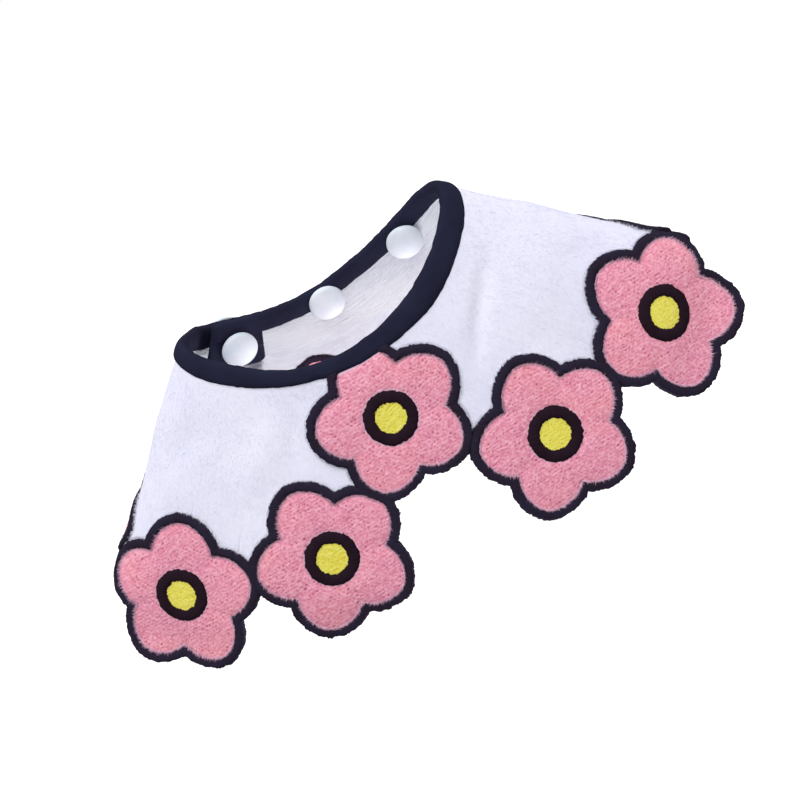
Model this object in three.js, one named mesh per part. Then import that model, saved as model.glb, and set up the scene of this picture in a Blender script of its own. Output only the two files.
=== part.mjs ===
// Pet bandana collar: a soft plush ring with a taped neck, a scalloped hem of
// embroidered flowers and a snap closure at the back left.
// Millimetres, +Z up, front towards -Y, +X to the front's right-hand side.
// The origin is the middle of the neck opening, where the wearer's neck holds it.
//
// The cloth is cut flat, as part of a ring, and rolled into an oval cone.  A place
// on the cut is given by r, its distance from the cone's tip along the cloth, and
// by s, its angle on the flat cut in degrees: 0 at the front's middle, positive
// towards +X.  Rolling the cut stretches nothing, so flowers drawn on the flat cut
// keep their shape.  A third value, w, is the height above the cloth's mid surface,
// outwards.
import * as THREE from 'three';

// ---- the cone ----
const SIDE_ANGLE = 50;          // from the axis to each side fold, degrees
const FRONT_ANGLE = 15;         // from the axis to the front's middle
const BACK_ANGLE = 20;          // from the axis to the back's middle
const SECTION_POWER = 1.9;      // 2 is an ellipse, less is a sharper side fold
const SECTION_STEPS = 1440;

// ---- the neck edge, to the middle of its tape ----
const NECK_FRONT = 65.4;
const NECK_BACK = 53.4;
const STRAP_NECK = 58.8;        // the overlapping end stays level at this radius

// ---- cloth and tape ----
const CLOTH = 1.6;
const GAP = 0.3;                // between pieces at a seam
const LAY_GAP = 0.6;            // under what lies on the cloth
const TAPE = 0.7;               // thickness of the folded neck tape
const TAPE_REACH = 3.4;         // from the neck line to the tape's lower edge
const TAPE_FOLD = 2.9;          // from the neck line to the cloth's own edge
const TAPE_ROUND = 0.4;         // the fold stands this far past its upper edge

// ---- the two ends and their overlap ----
const INNER_END = 134.4;        // the under end's edge, on the cut
const TAB_START = 134.8;
const TAB_END = 150;
const TAB_RADIUS = 69.5;        // the tab's lower edge
const TAB_CORNER = 2.2;
const TAB_COLUMNS = 8;
const TAB_ROWS = 2;
const OUTER_END = -86;          // the over end's edge at the neck
const OUTER_TIP = -92.4;        // and at the hem
const OUTER_TIP_RADIUS = 112;
const LIFT_START = -54;         // the over end leaves the inner layer here
const LIFT_DONE = -70;
const LIFT_TOP = 6.6;           // at the top edge, with room for the closed snap
const LIFT_HEM = 3.8;           // at the hem, with room for the flower below
const LIFT_TOP_RADIUS = 56;
const LIFT_HEM_RADIUS = 146;

// ---- flowers ----
const PETALS = 5;
const PETAL_TIP = 22.6;
const PETAL_NOTCH = 16.3;
const OUTLINE_TIP = 25.5;
const OUTLINE_NOTCH = 19.9;
const PETAL_POWER = 1.6;        // how quickly a petal falls from its tip
const RING_OUTER = 8.5;
const CENTRE_RADIUS = 4.6;
const PAD_HEIGHT = 0.9;
const OUTLINE_HEIGHT = 1.1;
const SHARED_OUTLINE = 1.4;     // half the outline that two flowers share
const HEM_INSET = 0.8;          // the cloth stops this far inside the outline
const HEM_SCAN = 0.25;
const TAPE_END_WIDTH = 1.3;     // an outline ends at the tape while this wide
const RING_STEPS = 10;
const ANGLE_STEP = 0.5;
const END_STEP = 1;              // no facet is narrower at an outline's end, degrees
const OUTLINE_LEAST = 1;        // the least width of an outline
const FACING = 0.2;             // cosine below which a neighbour sets no limit

// Each flower's place on the cut, the direction of one petal on the flat cut
// (0 is +x, 90 is towards the cone's tip), its size, and its facets: steps along each
// petal and rows outwards, more where the cone turns quickly under it.
const FLOWERS = [
  { name: 'flower_01', r: 129.0, s: -81.5, petal: 9, size: 1.0, steps: 6, rows: 1 },
  { name: 'flower_02', r: 121.0, s: -62.5, petal: 19, size: 1.0, steps: 8, rows: 4 },
  { name: 'flower_03', r: 132.5, s: -40.8, petal: -87, size: 1.02, steps: 6, rows: 2 },
  { name: 'flower_04', r: 119.9, s: -19.1, petal: 92, size: 1.01, steps: 6, rows: 1 },
  { name: 'flower_05', r: 86.4, s: -1.8, petal: 90, size: 0.99, steps: 6, rows: 1 },
  { name: 'flower_06', r: 121.2, s: 17.3, petal: 90, size: 1.02, steps: 6, rows: 1 },
  { name: 'flower_07', r: 132.6, s: 38.9, petal: -95, size: 1.06, steps: 6, rows: 2 },
  { name: 'flower_08', r: 124.8, s: 61.7, petal: 15, size: 1.0, steps: 10, rows: 5 },
  { name: 'flower_09', r: 131.5, s: 80.0, petal: 170, size: 1.0, steps: 4, rows: 1 },
  { name: 'flower_10', r: 121.2, s: 100.0, petal: 190, size: 1.0, steps: 4, rows: 1 },
  { name: 'flower_11', r: 98.6, s: 121.2, petal: 211, size: 1.0, steps: 6, rows: 1 },
];

// ---- snaps: place on the cut and the pieces' own sizes ----
const SNAPS = [
  { name: '1', s: 141.5, below: 7.2 },
  { name: '2', s: 110.4, below: 2.5 },
  { name: '3', s: 77.6, below: 3.4 },
];
const CAP_RADIUS = 5.9;
const CAP_HEIGHT = 3.0;
const CAP_RIM = 0.7;
const CAP_FOOT = 0.3;           // the cap's flat back stops this far inside its rim
const CAP_ARCS = 6;
const SOCKET_RADIUS = 4.4;
const SOCKET_HEIGHT = 1.4;
const SOCKET_HOLE = 2.5;
const SOCKET_FLOOR = 0.5;       // thickness under the recess
const SOCKET_DROP = 0.4;        // the socket's rim slopes by this much
const SOCKET_SLOPE = 0.6;       // over this width
const STUD_PLATE = 0.6;
const STUD_RADIUS = 2.2;
const STUD_NIB = 0.9;           // how far the nib stands off its plate
const SNAP_SEGMENTS = 20;

// ---- facets ----
const CLOTH_COLUMNS = 96;       // facets along the whole cut
const TAPE_COLUMNS = 54;
const CLOTH_ROWS = 2;
const HALVINGS = 40;            // when a station's angle is looked for

const RAD = Math.PI / 180;
const colours = {
  plush: { color: 0xebebfb, roughness: 0.95, metalness: 0 },
  tape: { color: 0x2a2c40, roughness: 0.85, metalness: 0 },
  pink: { color: 0xe09ab2, roughness: 0.9, metalness: 0 },
  outline: { color: 0x1c1430, roughness: 0.9, metalness: 0 },
  yellow: { color: 0xe0d45a, roughness: 0.9, metalness: 0 },
  snap: { color: 0xf2f5fb, roughness: 0.25, metalness: 0 },
};

/** Smooth step from 0 at a to 1 at b. */
function ramp(a, b, x) {
  const t = Math.min(1, Math.max(0, (x - a) / (b - a)));
  return t * t * (3 - 2 * t);
}

/** Signed power, for the oval's section. */
function power(x, e) {
  return Math.sign(x) * Math.abs(x) ** e;
}

/** The cone's rays once round: direction, outward normal and angle on the cut. */
function sectionTable() {
  const rays = [];
  const e = 2 / SECTION_POWER;
  for (let k = 0; k <= SECTION_STEPS; k += 1) {
    const phi = (2 * Math.PI * k) / SECTION_STEPS;
    const depth = Math.cos(phi) > 0 ? FRONT_ANGLE : BACK_ANGLE;
    const x = Math.tan(SIDE_ANGLE * RAD) * power(Math.sin(phi), e);
    const y = -Math.tan(depth * RAD) * power(Math.cos(phi), e);
    rays.push({ phi, dir: new THREE.Vector3(x, y, -1).normalize(), s: 0 });
  }
  for (let k = 1; k < rays.length; k += 1) {
    rays[k].s = rays[k - 1].s + rays[k].dir.angleTo(rays[k - 1].dir) / RAD;
  }
  rays.forEach((ray, k) => {
    const before = rays[(k - 1 + SECTION_STEPS) % SECTION_STEPS].dir;
    const after = rays[(k + 1) % SECTION_STEPS].dir;
    const along = after.clone().sub(before);
    ray.normal = along.cross(ray.dir).normalize();
    if (ray.normal.dot(new THREE.Vector3(ray.dir.x, ray.dir.y, 0)) < 0) ray.normal.negate();
  });
  return rays;
}

const RAYS = sectionTable();
const FULL_TURN = RAYS[SECTION_STEPS].s;

/** The ray at angle s on the cut, blended between two rows of the table. */
function rayAt(s) {
  const turn = ((s % FULL_TURN) + FULL_TURN) % FULL_TURN;
  let low = 0;
  let high = SECTION_STEPS;
  while (high - low > 1) {
    const middle = (low + high) >> 1;
    if (RAYS[middle].s <= turn) low = middle;
    else high = middle;
  }
  const t = (turn - RAYS[low].s) / (RAYS[high].s - RAYS[low].s);
  return {
    dir: RAYS[low].dir.clone().lerp(RAYS[high].dir, t).normalize(),
    normal: RAYS[low].normal.clone().lerp(RAYS[high].normal, t).normalize(),
    phi: RAYS[low].phi + (RAYS[high].phi - RAYS[low].phi) * t,
  };
}

/** Radius of the neck line at s. */
function neckRadius(s) {
  const round = NECK_FRONT + (NECK_BACK - NECK_FRONT) * (0.5 - 0.5 * Math.cos(rayAt(s).phi));
  const strap = ramp(LIFT_START, LIFT_DONE, s);
  return s < 0 ? round + (STRAP_NECK - round) * strap : round;
}

/** How far the over end stands off the cone. */
function liftAt(r, s) {
  const down = (r - LIFT_TOP_RADIUS) / (LIFT_HEM_RADIUS - LIFT_TOP_RADIUS);
  return ramp(LIFT_START, LIFT_DONE, s) * (LIFT_TOP + (LIFT_HEM - LIFT_TOP) * down);
}

const FRONT_Z = RAYS[0].dir.z * NECK_FRONT;
const BACK_Z = RAYS[SECTION_STEPS / 2].dir.z * NECK_BACK;
const TIP_HEIGHT = -0.5 * (FRONT_Z + BACK_Z);

/** A place on the cut, w above the cloth's mid surface, in space. */
function cloth(r, s, w) {
  const ray = rayAt(s);
  const height = w + (s < 0 ? liftAt(r, s) : 0);
  const point = ray.dir.multiplyScalar(r).addScaledVector(ray.normal, height);
  point.z += TIP_HEIGHT;
  return point;
}

/** Flat cut coordinates: x to the right, y towards the cone's tip. */
function flat(r, s) {
  return new THREE.Vector2(r * Math.sin(s * RAD), -r * Math.cos(s * RAD));
}

/** The angle on the cut nearest to near, and the radius, of a flat place. */
function polar(p, near) {
  const turn = Math.atan2(p.x, -p.y) / RAD;
  const s = turn + 360 * Math.round((near - turn) / 360);
  return { r: p.length(), s };
}

/** A closed body between two faces of a grid; side 1 is the outer face. */
function shell(columns, rows, closed, place) {
  const across = closed ? columns : columns + 1;
  const points = [];
  for (let side = 0; side < 2; side += 1) {
    for (let j = 0; j <= rows; j += 1) {
      for (let i = 0; i < across; i += 1) points.push(place(i, j, side));
    }
  }
  const at = (i, j, side) => side * across * (rows + 1) + j * across + (i % across);
  const faces = [];
  const quad = (a, b, c, d) => faces.push([a, b, c], [a, c, d]);
  for (let i = 0; i < columns; i += 1) {
    for (let j = 0; j < rows; j += 1) {
      quad(at(i, j, 1), at(i + 1, j, 1), at(i + 1, j + 1, 1), at(i, j + 1, 1));
      quad(at(i, j, 0), at(i, j + 1, 0), at(i + 1, j + 1, 0), at(i + 1, j, 0));
    }
    quad(at(i, 0, 0), at(i + 1, 0, 0), at(i + 1, 0, 1), at(i, 0, 1));
    quad(at(i, rows, 1), at(i + 1, rows, 1), at(i + 1, rows, 0), at(i, rows, 0));
  }
  if (!closed) {
    for (let j = 0; j < rows; j += 1) {
      quad(at(0, j, 1), at(0, j + 1, 1), at(0, j + 1, 0), at(0, j, 0));
      quad(at(columns, j, 0), at(columns, j + 1, 0), at(columns, j + 1, 1), at(columns, j, 1));
    }
  }
  return solid(points, faces);
}

/** A body swept from a flat closed section; place(i, p) seats its point p at station i. */
function sweep(stations, section, place) {
  const points = [];
  const faces = [];
  const count = section.length;
  for (let i = 0; i <= stations; i += 1) points.push(...section.map((p) => place(i, p)));
  for (let i = 0; i < stations; i += 1) {
    for (let k = 0; k < count; k += 1) {
      const a = i * count + k;
      const b = i * count + ((k + 1) % count);
      faces.push([a, b, b + count], [a, b + count, a + count]);
    }
  }
  const last = stations * count;
  const cap = THREE.ShapeUtils.triangulateShape(section, []);
  cap.forEach(([a, b, c]) => {
    faces.push([a, c, b]);
    faces.push([last + a, last + b, last + c]);
  });
  return solid(points, faces);
}

/** Merges shared points, drops collapsed facets and turns the faces outwards. */
function solid(points, faces) {
  const index = new Map();
  const kept = [];
  const merged = points.map((p) => {
    const key = [p.x, p.y, p.z].map((v) => Math.round(v * 1e4)).join(' ');
    if (!index.has(key)) {
      index.set(key, kept.length);
      kept.push(p);
    }
    return index.get(key);
  });
  let triangles = faces.map((f) => f.map((k) => merged[k]));
  triangles = triangles.filter(([a, b, c]) => a !== b && b !== c && c !== a);
  const volume = triangles.reduce((sum, [a, b, c]) => {
    const cross = kept[b].clone().cross(kept[c]);
    return sum + kept[a].dot(cross);
  }, 0);
  if (volume < 0) triangles = triangles.map(([a, b, c]) => [a, c, b]);
  const geometry = new THREE.BufferGeometry();
  const flatPoints = kept.flatMap((p) => [p.x, p.y, p.z]);
  geometry.setAttribute('position', new THREE.Float32BufferAttribute(flatPoints, 3));
  geometry.setIndex(triangles.flat());
  return geometry;
}

const collar = new THREE.Group();

/** Adds one named piece in its finish. */
function add(name, geometry, finish) {
  const mesh = new THREE.Mesh(geometry, new THREE.MeshStandardMaterial(colours[finish]));
  mesh.name = name;
  collar.add(mesh);
  return mesh;
}

// ---- flower outlines on the flat cut ----

FLOWERS.forEach((flower) => {
  flower.centre = flat(flower.r, flower.s);
});

/** Distance from a flower's centre to its edge in direction angle (degrees). */
function lobe(flower, angle, tip, notch) {
  const pitch = 360 / PETALS;
  const off = ((angle - flower.petal) % pitch + pitch * 1.5) % pitch - pitch / 2;
  const fall = (Math.abs(off) / (pitch / 2)) ** PETAL_POWER;
  return flower.size * (tip - (tip - notch) * fall);
}

/** The reach in direction angle before the line half-way to each neighbour. */
function untilNeighbour(flower, angle, margin) {
  const k = FLOWERS.indexOf(flower);
  const neighbours = [FLOWERS[k - 1], FLOWERS[k + 1]].filter(Boolean);
  const limits = neighbours.map((other) => {
    const towards = other.centre.clone().sub(flower.centre);
    const cosine = Math.cos(angle * RAD - Math.atan2(towards.y, towards.x));
    return cosine > FACING ? (towards.length() / 2 - margin) / cosine : Infinity;
  });
  return Math.min(...limits);
}

/** The reach in direction angle before the neck tape's lower edge. */
function untilTape(flower, angle) {
  const edge = neckRadius(flower.s) + TAPE_REACH + GAP;
  const out = new THREE.Vector2(Math.cos(angle * RAD), Math.sin(angle * RAD));
  const along = out.dot(flower.centre);
  const clear = flower.centre.lengthSq() - edge * edge;
  const root = along * along - clear;
  return along < 0 && root > 0 ? -along - Math.sqrt(root) : Infinity;
}

/** The edge of the pink petals, cut by the tape and by the shared outline. */
function petalReach(flower, angle) {
  const own = lobe(flower, angle, PETAL_TIP, PETAL_NOTCH);
  const shared = untilNeighbour(flower, angle, SHARED_OUTLINE + GAP + GAP / 2);
  return Math.min(own, shared, untilTape(flower, angle));
}

/** The outer edge of the outline, half-way to the neighbour where they meet. */
function outlineReach(flower, angle) {
  const own = lobe(flower, angle, OUTLINE_TIP, OUTLINE_NOTCH);
  return Math.min(own, untilNeighbour(flower, angle, GAP / 2), untilTape(flower, angle));
}

/** The place on the cut at a distance and direction from a flower's centre. */
function inFlower(flower, reach, angle) {
  const p = new THREE.Vector2(Math.cos(angle * RAD), Math.sin(angle * RAD));
  return polar(p.multiplyScalar(reach).add(flower.centre), flower.s);
}

/** A pad on the cloth between two reaches of a flower, through a list of angles. */
function pad(flower, inner, outer, angles, rows, height) {
  const last = angles.length - 1;
  const closed = angles[last] - angles[0] === 360;
  return shell(last, rows, closed, (i, j, side) => {
    const from = inner(angles[i]);
    const reach = from + ((outer(angles[i]) - from) * j) / rows;
    const { r, s } = inFlower(flower, reach, angles[i]);
    return cloth(r, s, CLOTH / 2 + LAY_GAP + side * height);
  });
}

/** Angles once round a flower from one petal's tip, in equal steps. */
function roundAngles(flower, count) {
  return Array.from({ length: count + 1 }, (_, i) => flower.petal + (360 * i) / count);
}

/** The angles of the outline: all round, or from one side of the tape to the other. */
function outlineAngles(flower) {
  const all = roundAngles(flower, PETALS * flower.steps);
  const free = (angle) => petalReach(flower, angle) + TAPE_END_WIDTH < untilTape(flower, angle);
  const toTip = flower.s + 90;
  if (free(toTip)) return all;
  let from = toTip;
  while (!free(from)) from += ANGLE_STEP;
  let to = toTip + 360;
  while (!free(to)) to -= ANGLE_STEP;
  const between = [...all, ...all.slice(1).map((angle) => angle + 360)];
  const inside = between.filter((angle) => angle > from + END_STEP && angle < to - END_STEP);
  return [from, ...inside, to];
}

/** One flower's four pieces: petals, outline, ring and centre. */
function addFlower(flower) {
  const petals = (angle) => petalReach(flower, angle);
  const outline = (angle) => outlineReach(flower, angle);
  const edge = (angle) => Math.min(petals(angle) + GAP, outline(angle) - OUTLINE_LEAST);
  const at = (radius) => () => radius * flower.size;
  const petalTurn = roundAngles(flower, PETALS * flower.steps);
  const ringTurn = roundAngles(flower, RING_STEPS);
  const piece = (part, inner, outer, angles, rows, height, finish) => {
    add(`${flower.name}_${part}`, pad(flower, inner, outer, angles, rows, height), finish);
  };
  piece('petals', at(RING_OUTER + GAP), petals, petalTurn, flower.rows, PAD_HEIGHT, 'pink');
  piece('outline', edge, outline, outlineAngles(flower), 1, OUTLINE_HEIGHT, 'outline');
  piece('ring', at(CENTRE_RADIUS + GAP), at(RING_OUTER), ringTurn, 1, OUTLINE_HEIGHT, 'outline');
  piece('centre', at(0), at(CENTRE_RADIUS), ringTurn, 1, PAD_HEIGHT, 'yellow');
}

// ---- the plush body ----

/** Radius of the line through the flowers' centres at s. */
function rowRadius(s) {
  const k = FLOWERS.findIndex((flower) => flower.s > s);
  if (k === 0) return FLOWERS[0].r;
  if (k < 0) return FLOWERS[FLOWERS.length - 1].r;
  const a = FLOWERS[k - 1];
  const b = FLOWERS[k];
  const p = a.centre.clone().lerp(b.centre, (s - a.s) / (b.s - a.s));
  return p.length();
}

/** Radius of the cloth's hem at s: the far edge of the flowers, a little inside. */
function hemRadius(s) {
  const furthest = FLOWERS.map((flower) => {
    let radius = flower.r + OUTLINE_TIP * flower.size;
    const inside = () => {
      const p = flat(radius, s).sub(flower.centre);
      return p.length() < outlineReach(flower, Math.atan2(p.y, p.x) / RAD) - HEM_INSET;
    };
    while (radius > flower.r - OUTLINE_TIP && !inside()) radius -= HEM_SCAN;
    return radius > flower.r - OUTLINE_TIP ? radius : 0;
  });
  return Math.max(rowRadius(s), ...furthest);
}

/** Radius of the cloth's upper edge at s; the over end slopes down to its tip. */
function topRadius(s) {
  const neck = neckRadius(s) - TAPE_FOLD;
  const slope = (OUTER_END - s) / (OUTER_END - OUTER_TIP);
  return slope > 0 ? neck + (OUTER_TIP_RADIUS - neck) * slope : neck;
}

/** Stations along the cut, closer together where the cone turns quickly. */
function stations(from, to, count) {
  const turns = (s) => Math.floor(s / FULL_TURN) * 2 * Math.PI + rayAt(s).phi;
  const goal = [turns(from), turns(to)];
  const list = [];
  for (let i = 0; i <= count; i += 1) {
    const wanted = goal[0] + ((goal[1] - goal[0]) * i) / count;
    let low = from;
    let high = to;
    for (let step = 0; step < HALVINGS; step += 1) {
      const middle = (low + high) / 2;
      if (turns(middle) < wanted) low = middle;
      else high = middle;
    }
    list.push((low + high) / 2);
  }
  return list;
}

function addBody() {
  const along = stations(OUTER_TIP, INNER_END, CLOTH_COLUMNS);
  const edges = along.map((s) => ({ s, top: topRadius(s), hem: hemRadius(s) }));
  add('body_cloth', shell(CLOTH_COLUMNS, CLOTH_ROWS, false, (i, j, side) => {
    const { s, top, hem } = edges[i];
    return cloth(top + ((hem - top) * j) / CLOTH_ROWS, s, (side - 0.5) * CLOTH);
  }), 'plush');
}

// ---- the neck tape, folded over the cloth's edge ----

// A U round the cloth's edge: x is the distance below the neck line, y the height.
const TAPE_IN = CLOTH / 2 + GAP;
const TAPE_OUT = TAPE_IN + TAPE;
const TAPE_PROFILE = [
  new THREE.Vector2(TAPE_REACH, TAPE_IN),
  new THREE.Vector2(TAPE_REACH, TAPE_OUT),
  new THREE.Vector2(-TAPE_FOLD, TAPE_OUT),
  new THREE.Vector2(-TAPE_REACH - TAPE_ROUND, TAPE_OUT / 2),
  new THREE.Vector2(-TAPE_REACH - TAPE_ROUND, -TAPE_OUT / 2),
  new THREE.Vector2(-TAPE_FOLD, -TAPE_OUT),
  new THREE.Vector2(TAPE_REACH, -TAPE_OUT),
  new THREE.Vector2(TAPE_REACH, -TAPE_IN),
  new THREE.Vector2(-TAPE_FOLD - GAP, -TAPE_IN),
  new THREE.Vector2(-TAPE_FOLD - GAP, TAPE_IN),
];

function addTape() {
  const along = stations(OUTER_END, TAB_END, TAPE_COLUMNS);
  add('neck_tape', sweep(TAPE_COLUMNS, TAPE_PROFILE, (i, p) => (
    cloth(neckRadius(along[i]) + p.x, along[i], p.y)
  )), 'tape');
}

/** The under end's square tab with two rounded lower corners. */
function addTab() {
  add('end_tab', shell(TAB_COLUMNS, TAB_ROWS, false, (i, j, side) => {
    const s = TAB_START + ((TAB_END - TAB_START) * i) / TAB_COLUMNS;
    const toSide = Math.min(s - TAB_START, TAB_END - s) * RAD * TAB_RADIUS;
    const inCorner = Math.max(0, TAB_CORNER - toSide);
    const drop = TAB_CORNER - Math.sqrt(TAB_CORNER ** 2 - inCorner ** 2);
    const top = neckRadius(s) - TAPE_FOLD;
    return cloth(top + ((TAB_RADIUS - drop - top) * j) / TAB_ROWS, s, (side - 0.5) * CLOTH);
  }), 'tape');
}

// ---- snaps ----

/** Turns a lathed piece so that its axis leaves the cloth, and seats it. */
function seat(mesh, r, s, w, outwards) {
  const { normal } = rayAt(s);
  const axis = outwards ? normal : normal.negate();
  mesh.quaternion.setFromUnitVectors(new THREE.Vector3(0, 1, 0), axis);
  mesh.position.copy(cloth(r, s, w));
}

/** A domed cap, flat behind, on the +Y axis. */
function capGeometry() {
  const profile = [new THREE.Vector2(0, 0), new THREE.Vector2(CAP_RADIUS - CAP_FOOT, 0)];
  for (let k = 0; k <= CAP_ARCS; k += 1) {
    const t = (Math.PI / 2) * (k / CAP_ARCS);
    const y = CAP_RIM + (CAP_HEIGHT - CAP_RIM) * Math.sin(t);
    profile.push(new THREE.Vector2(k === CAP_ARCS ? 0 : CAP_RADIUS * Math.cos(t), y));
  }
  return lathe(profile);
}

/** A socket: a ring with a recess for the stud. */
function socketGeometry() {
  return lathe([
    new THREE.Vector2(0, 0), new THREE.Vector2(SOCKET_RADIUS, 0),
    new THREE.Vector2(SOCKET_RADIUS, SOCKET_HEIGHT - SOCKET_DROP),
    new THREE.Vector2(SOCKET_RADIUS - SOCKET_SLOPE, SOCKET_HEIGHT),
    new THREE.Vector2(SOCKET_HOLE, SOCKET_HEIGHT),
    new THREE.Vector2(SOCKET_HOLE, SOCKET_FLOOR), new THREE.Vector2(0, SOCKET_FLOOR),
  ]);
}

/** A stud: a plate with a short round nib. */
function studGeometry() {
  return lathe([
    new THREE.Vector2(0, 0), new THREE.Vector2(SOCKET_RADIUS, 0),
    new THREE.Vector2(SOCKET_RADIUS, STUD_PLATE), new THREE.Vector2(STUD_RADIUS, STUD_PLATE),
    new THREE.Vector2(STUD_RADIUS, STUD_PLATE + STUD_NIB),
    new THREE.Vector2(0, STUD_PLATE + STUD_NIB),
  ]);
}

/** Lathes a profile that starts and ends on the axis into one closed body. */
function lathe(profile) {
  const points = [];
  const faces = [];
  const count = profile.length;
  for (let i = 0; i < SNAP_SEGMENTS; i += 1) {
    const turn = (2 * Math.PI * i) / SNAP_SEGMENTS;
    profile.forEach((p) => {
      points.push(new THREE.Vector3(p.x * Math.cos(turn), p.y, p.x * Math.sin(turn)));
    });
    const next = (i + 1) % SNAP_SEGMENTS;
    for (let k = 0; k + 1 < count; k += 1) {
      const a = i * count + k;
      const b = next * count + k;
      faces.push([a, b, b + 1], [a, b + 1, a + 1]);
    }
  }
  return solid(points, faces);
}

function addSnaps() {
  const onTape = TAPE_OUT + GAP;
  SNAPS.forEach((snap) => {
    const r = neckRadius(snap.s) + snap.below;
    seat(add(`snap_cap_${snap.name}`, capGeometry(), 'snap'), r, snap.s, -onTape, false);
    seat(add(`snap_socket_${snap.name}`, socketGeometry(), 'snap'), r, snap.s, onTape, true);
  });
  const closed = SNAPS[0];
  const s = closed.s - FULL_TURN;
  const r = neckRadius(closed.s) + closed.below;
  seat(add('snap_stud', studGeometry(), 'snap'), r, s, -onTape, false);
  seat(add('snap_cap_outer', capGeometry(), 'snap'), r, s, onTape, true);
}

addBody();
addTape();
addTab();
FLOWERS.forEach(addFlower);
addSnaps();

export default collar;
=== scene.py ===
"""A pet's bandana collar, filled out as if worn.

A plush ring with a taped neck, a scalloped hem of embroidered flowers and a snap
closure at the back left.  Sizes are in millimetres and degrees, and every place
becomes metres where it is put into a mesh.

The cloth is cut flat, as part of a ring, and rolled into an oval cone.  A place on
the cut is given by r, its distance from the cone's tip along the cloth, and by s, its
angle on the flat cut: 0 at the front's middle, positive towards +X.  A third value,
w, is the height above the cloth's mid surface, outwards.
"""
import logging
import math
from collections.abc import Callable
from dataclasses import dataclass, field
from enum import Enum

import bpy
import numpy as np
from mathutils import Matrix, Vector


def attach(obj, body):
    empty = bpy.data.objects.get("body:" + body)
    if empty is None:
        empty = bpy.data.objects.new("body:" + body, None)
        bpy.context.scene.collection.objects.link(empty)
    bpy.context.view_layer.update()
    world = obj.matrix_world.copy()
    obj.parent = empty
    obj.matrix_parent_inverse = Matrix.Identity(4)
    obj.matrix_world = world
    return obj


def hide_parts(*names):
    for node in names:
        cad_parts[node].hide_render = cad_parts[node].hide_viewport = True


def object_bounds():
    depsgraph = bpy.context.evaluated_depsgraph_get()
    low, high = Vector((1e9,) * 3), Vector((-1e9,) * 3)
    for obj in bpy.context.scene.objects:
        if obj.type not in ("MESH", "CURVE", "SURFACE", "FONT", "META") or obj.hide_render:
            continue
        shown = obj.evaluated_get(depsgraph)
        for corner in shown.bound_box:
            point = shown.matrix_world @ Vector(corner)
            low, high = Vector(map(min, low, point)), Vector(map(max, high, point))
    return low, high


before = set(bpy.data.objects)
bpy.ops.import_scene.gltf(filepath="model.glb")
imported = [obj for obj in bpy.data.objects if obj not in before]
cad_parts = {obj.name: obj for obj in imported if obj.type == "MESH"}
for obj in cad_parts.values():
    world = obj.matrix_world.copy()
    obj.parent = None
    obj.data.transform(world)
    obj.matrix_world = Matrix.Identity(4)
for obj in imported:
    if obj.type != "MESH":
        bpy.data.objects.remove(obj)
CAD_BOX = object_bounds()

MM = 0.001
LOG = logging.getLogger("collar")
Array = np.ndarray


# ---------------------------------------------------------------- small helpers


def signed_power(x: Array, exponent: float) -> Array:
    """The size of x to a power, with x's sign."""
    return np.sign(x) * np.abs(x) ** exponent


def smooth_step(low: float, high: float, x: Array) -> Array:
    """0 before low, 1 after high, and a smooth S between."""
    t = np.clip((np.asarray(x, dtype=float) - low) / (high - low), 0.0, 1.0)
    return t * t * (3.0 - 2.0 * t)


def unit(vectors: Array) -> Array:
    """Vectors of length 1 in the same directions."""
    return vectors / np.linalg.norm(vectors, axis=-1, keepdims=True)


def round_over(x: Array, least: float) -> Array:
    """A quarter circle that rises from x 0 to 1; its square is never under least."""
    return np.sqrt(np.maximum(1 - (1 - np.clip(x, 0.0, 1.0)) ** 2, least))


def degree_of_arc(r: Array) -> Array:
    """How long one degree of the cut is at r."""
    return np.radians(1.0) * r


def flat_place(r: Array, s: Array) -> tuple[Array, Array]:
    """The flat cut's x and y of a place: x to the right, y towards the cone's tip."""
    turn = np.radians(s)
    return r * np.sin(turn), -r * np.cos(turn)


def cut_place(x: Array, y: Array) -> tuple[Array, Array]:
    """The r and s of a place given by the flat cut's x and y."""
    return np.hypot(x, y), np.degrees(np.arctan2(x, -y))


class SoftNoise:
    """Smooth random hills on a plane, the same each run.

    Random numbers stand on the corners of unit squares, and each square blends its
    four corners by smooth steps along both sides.
    """

    def __init__(self, seed: int, size: int = 128) -> None:
        """Draws the corners' numbers."""
        self.size = size
        self.corners = np.random.default_rng(seed).uniform(-1.0, 1.0, (size, size))

    def at(self, x: Array, y: Array) -> Array:
        """The height, from -1 to 1, at x and y."""
        x, y = np.broadcast_arrays(np.asarray(x, float), np.asarray(y, float))
        left, low = np.floor(x).astype(int), np.floor(y).astype(int)
        a, b = smooth_step(0, 1, x - left), smooth_step(0, 1, y - low)
        i, j = left % self.size, low % self.size
        k, m = (i + 1) % self.size, (j + 1) % self.size
        below = self.corners[i, j] * (1 - a) + self.corners[k, j] * a
        above = self.corners[i, m] * (1 - a) + self.corners[k, m] * a
        return below * (1 - b) + above * b


# ---------------------------------------------------------------- the cone


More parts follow.
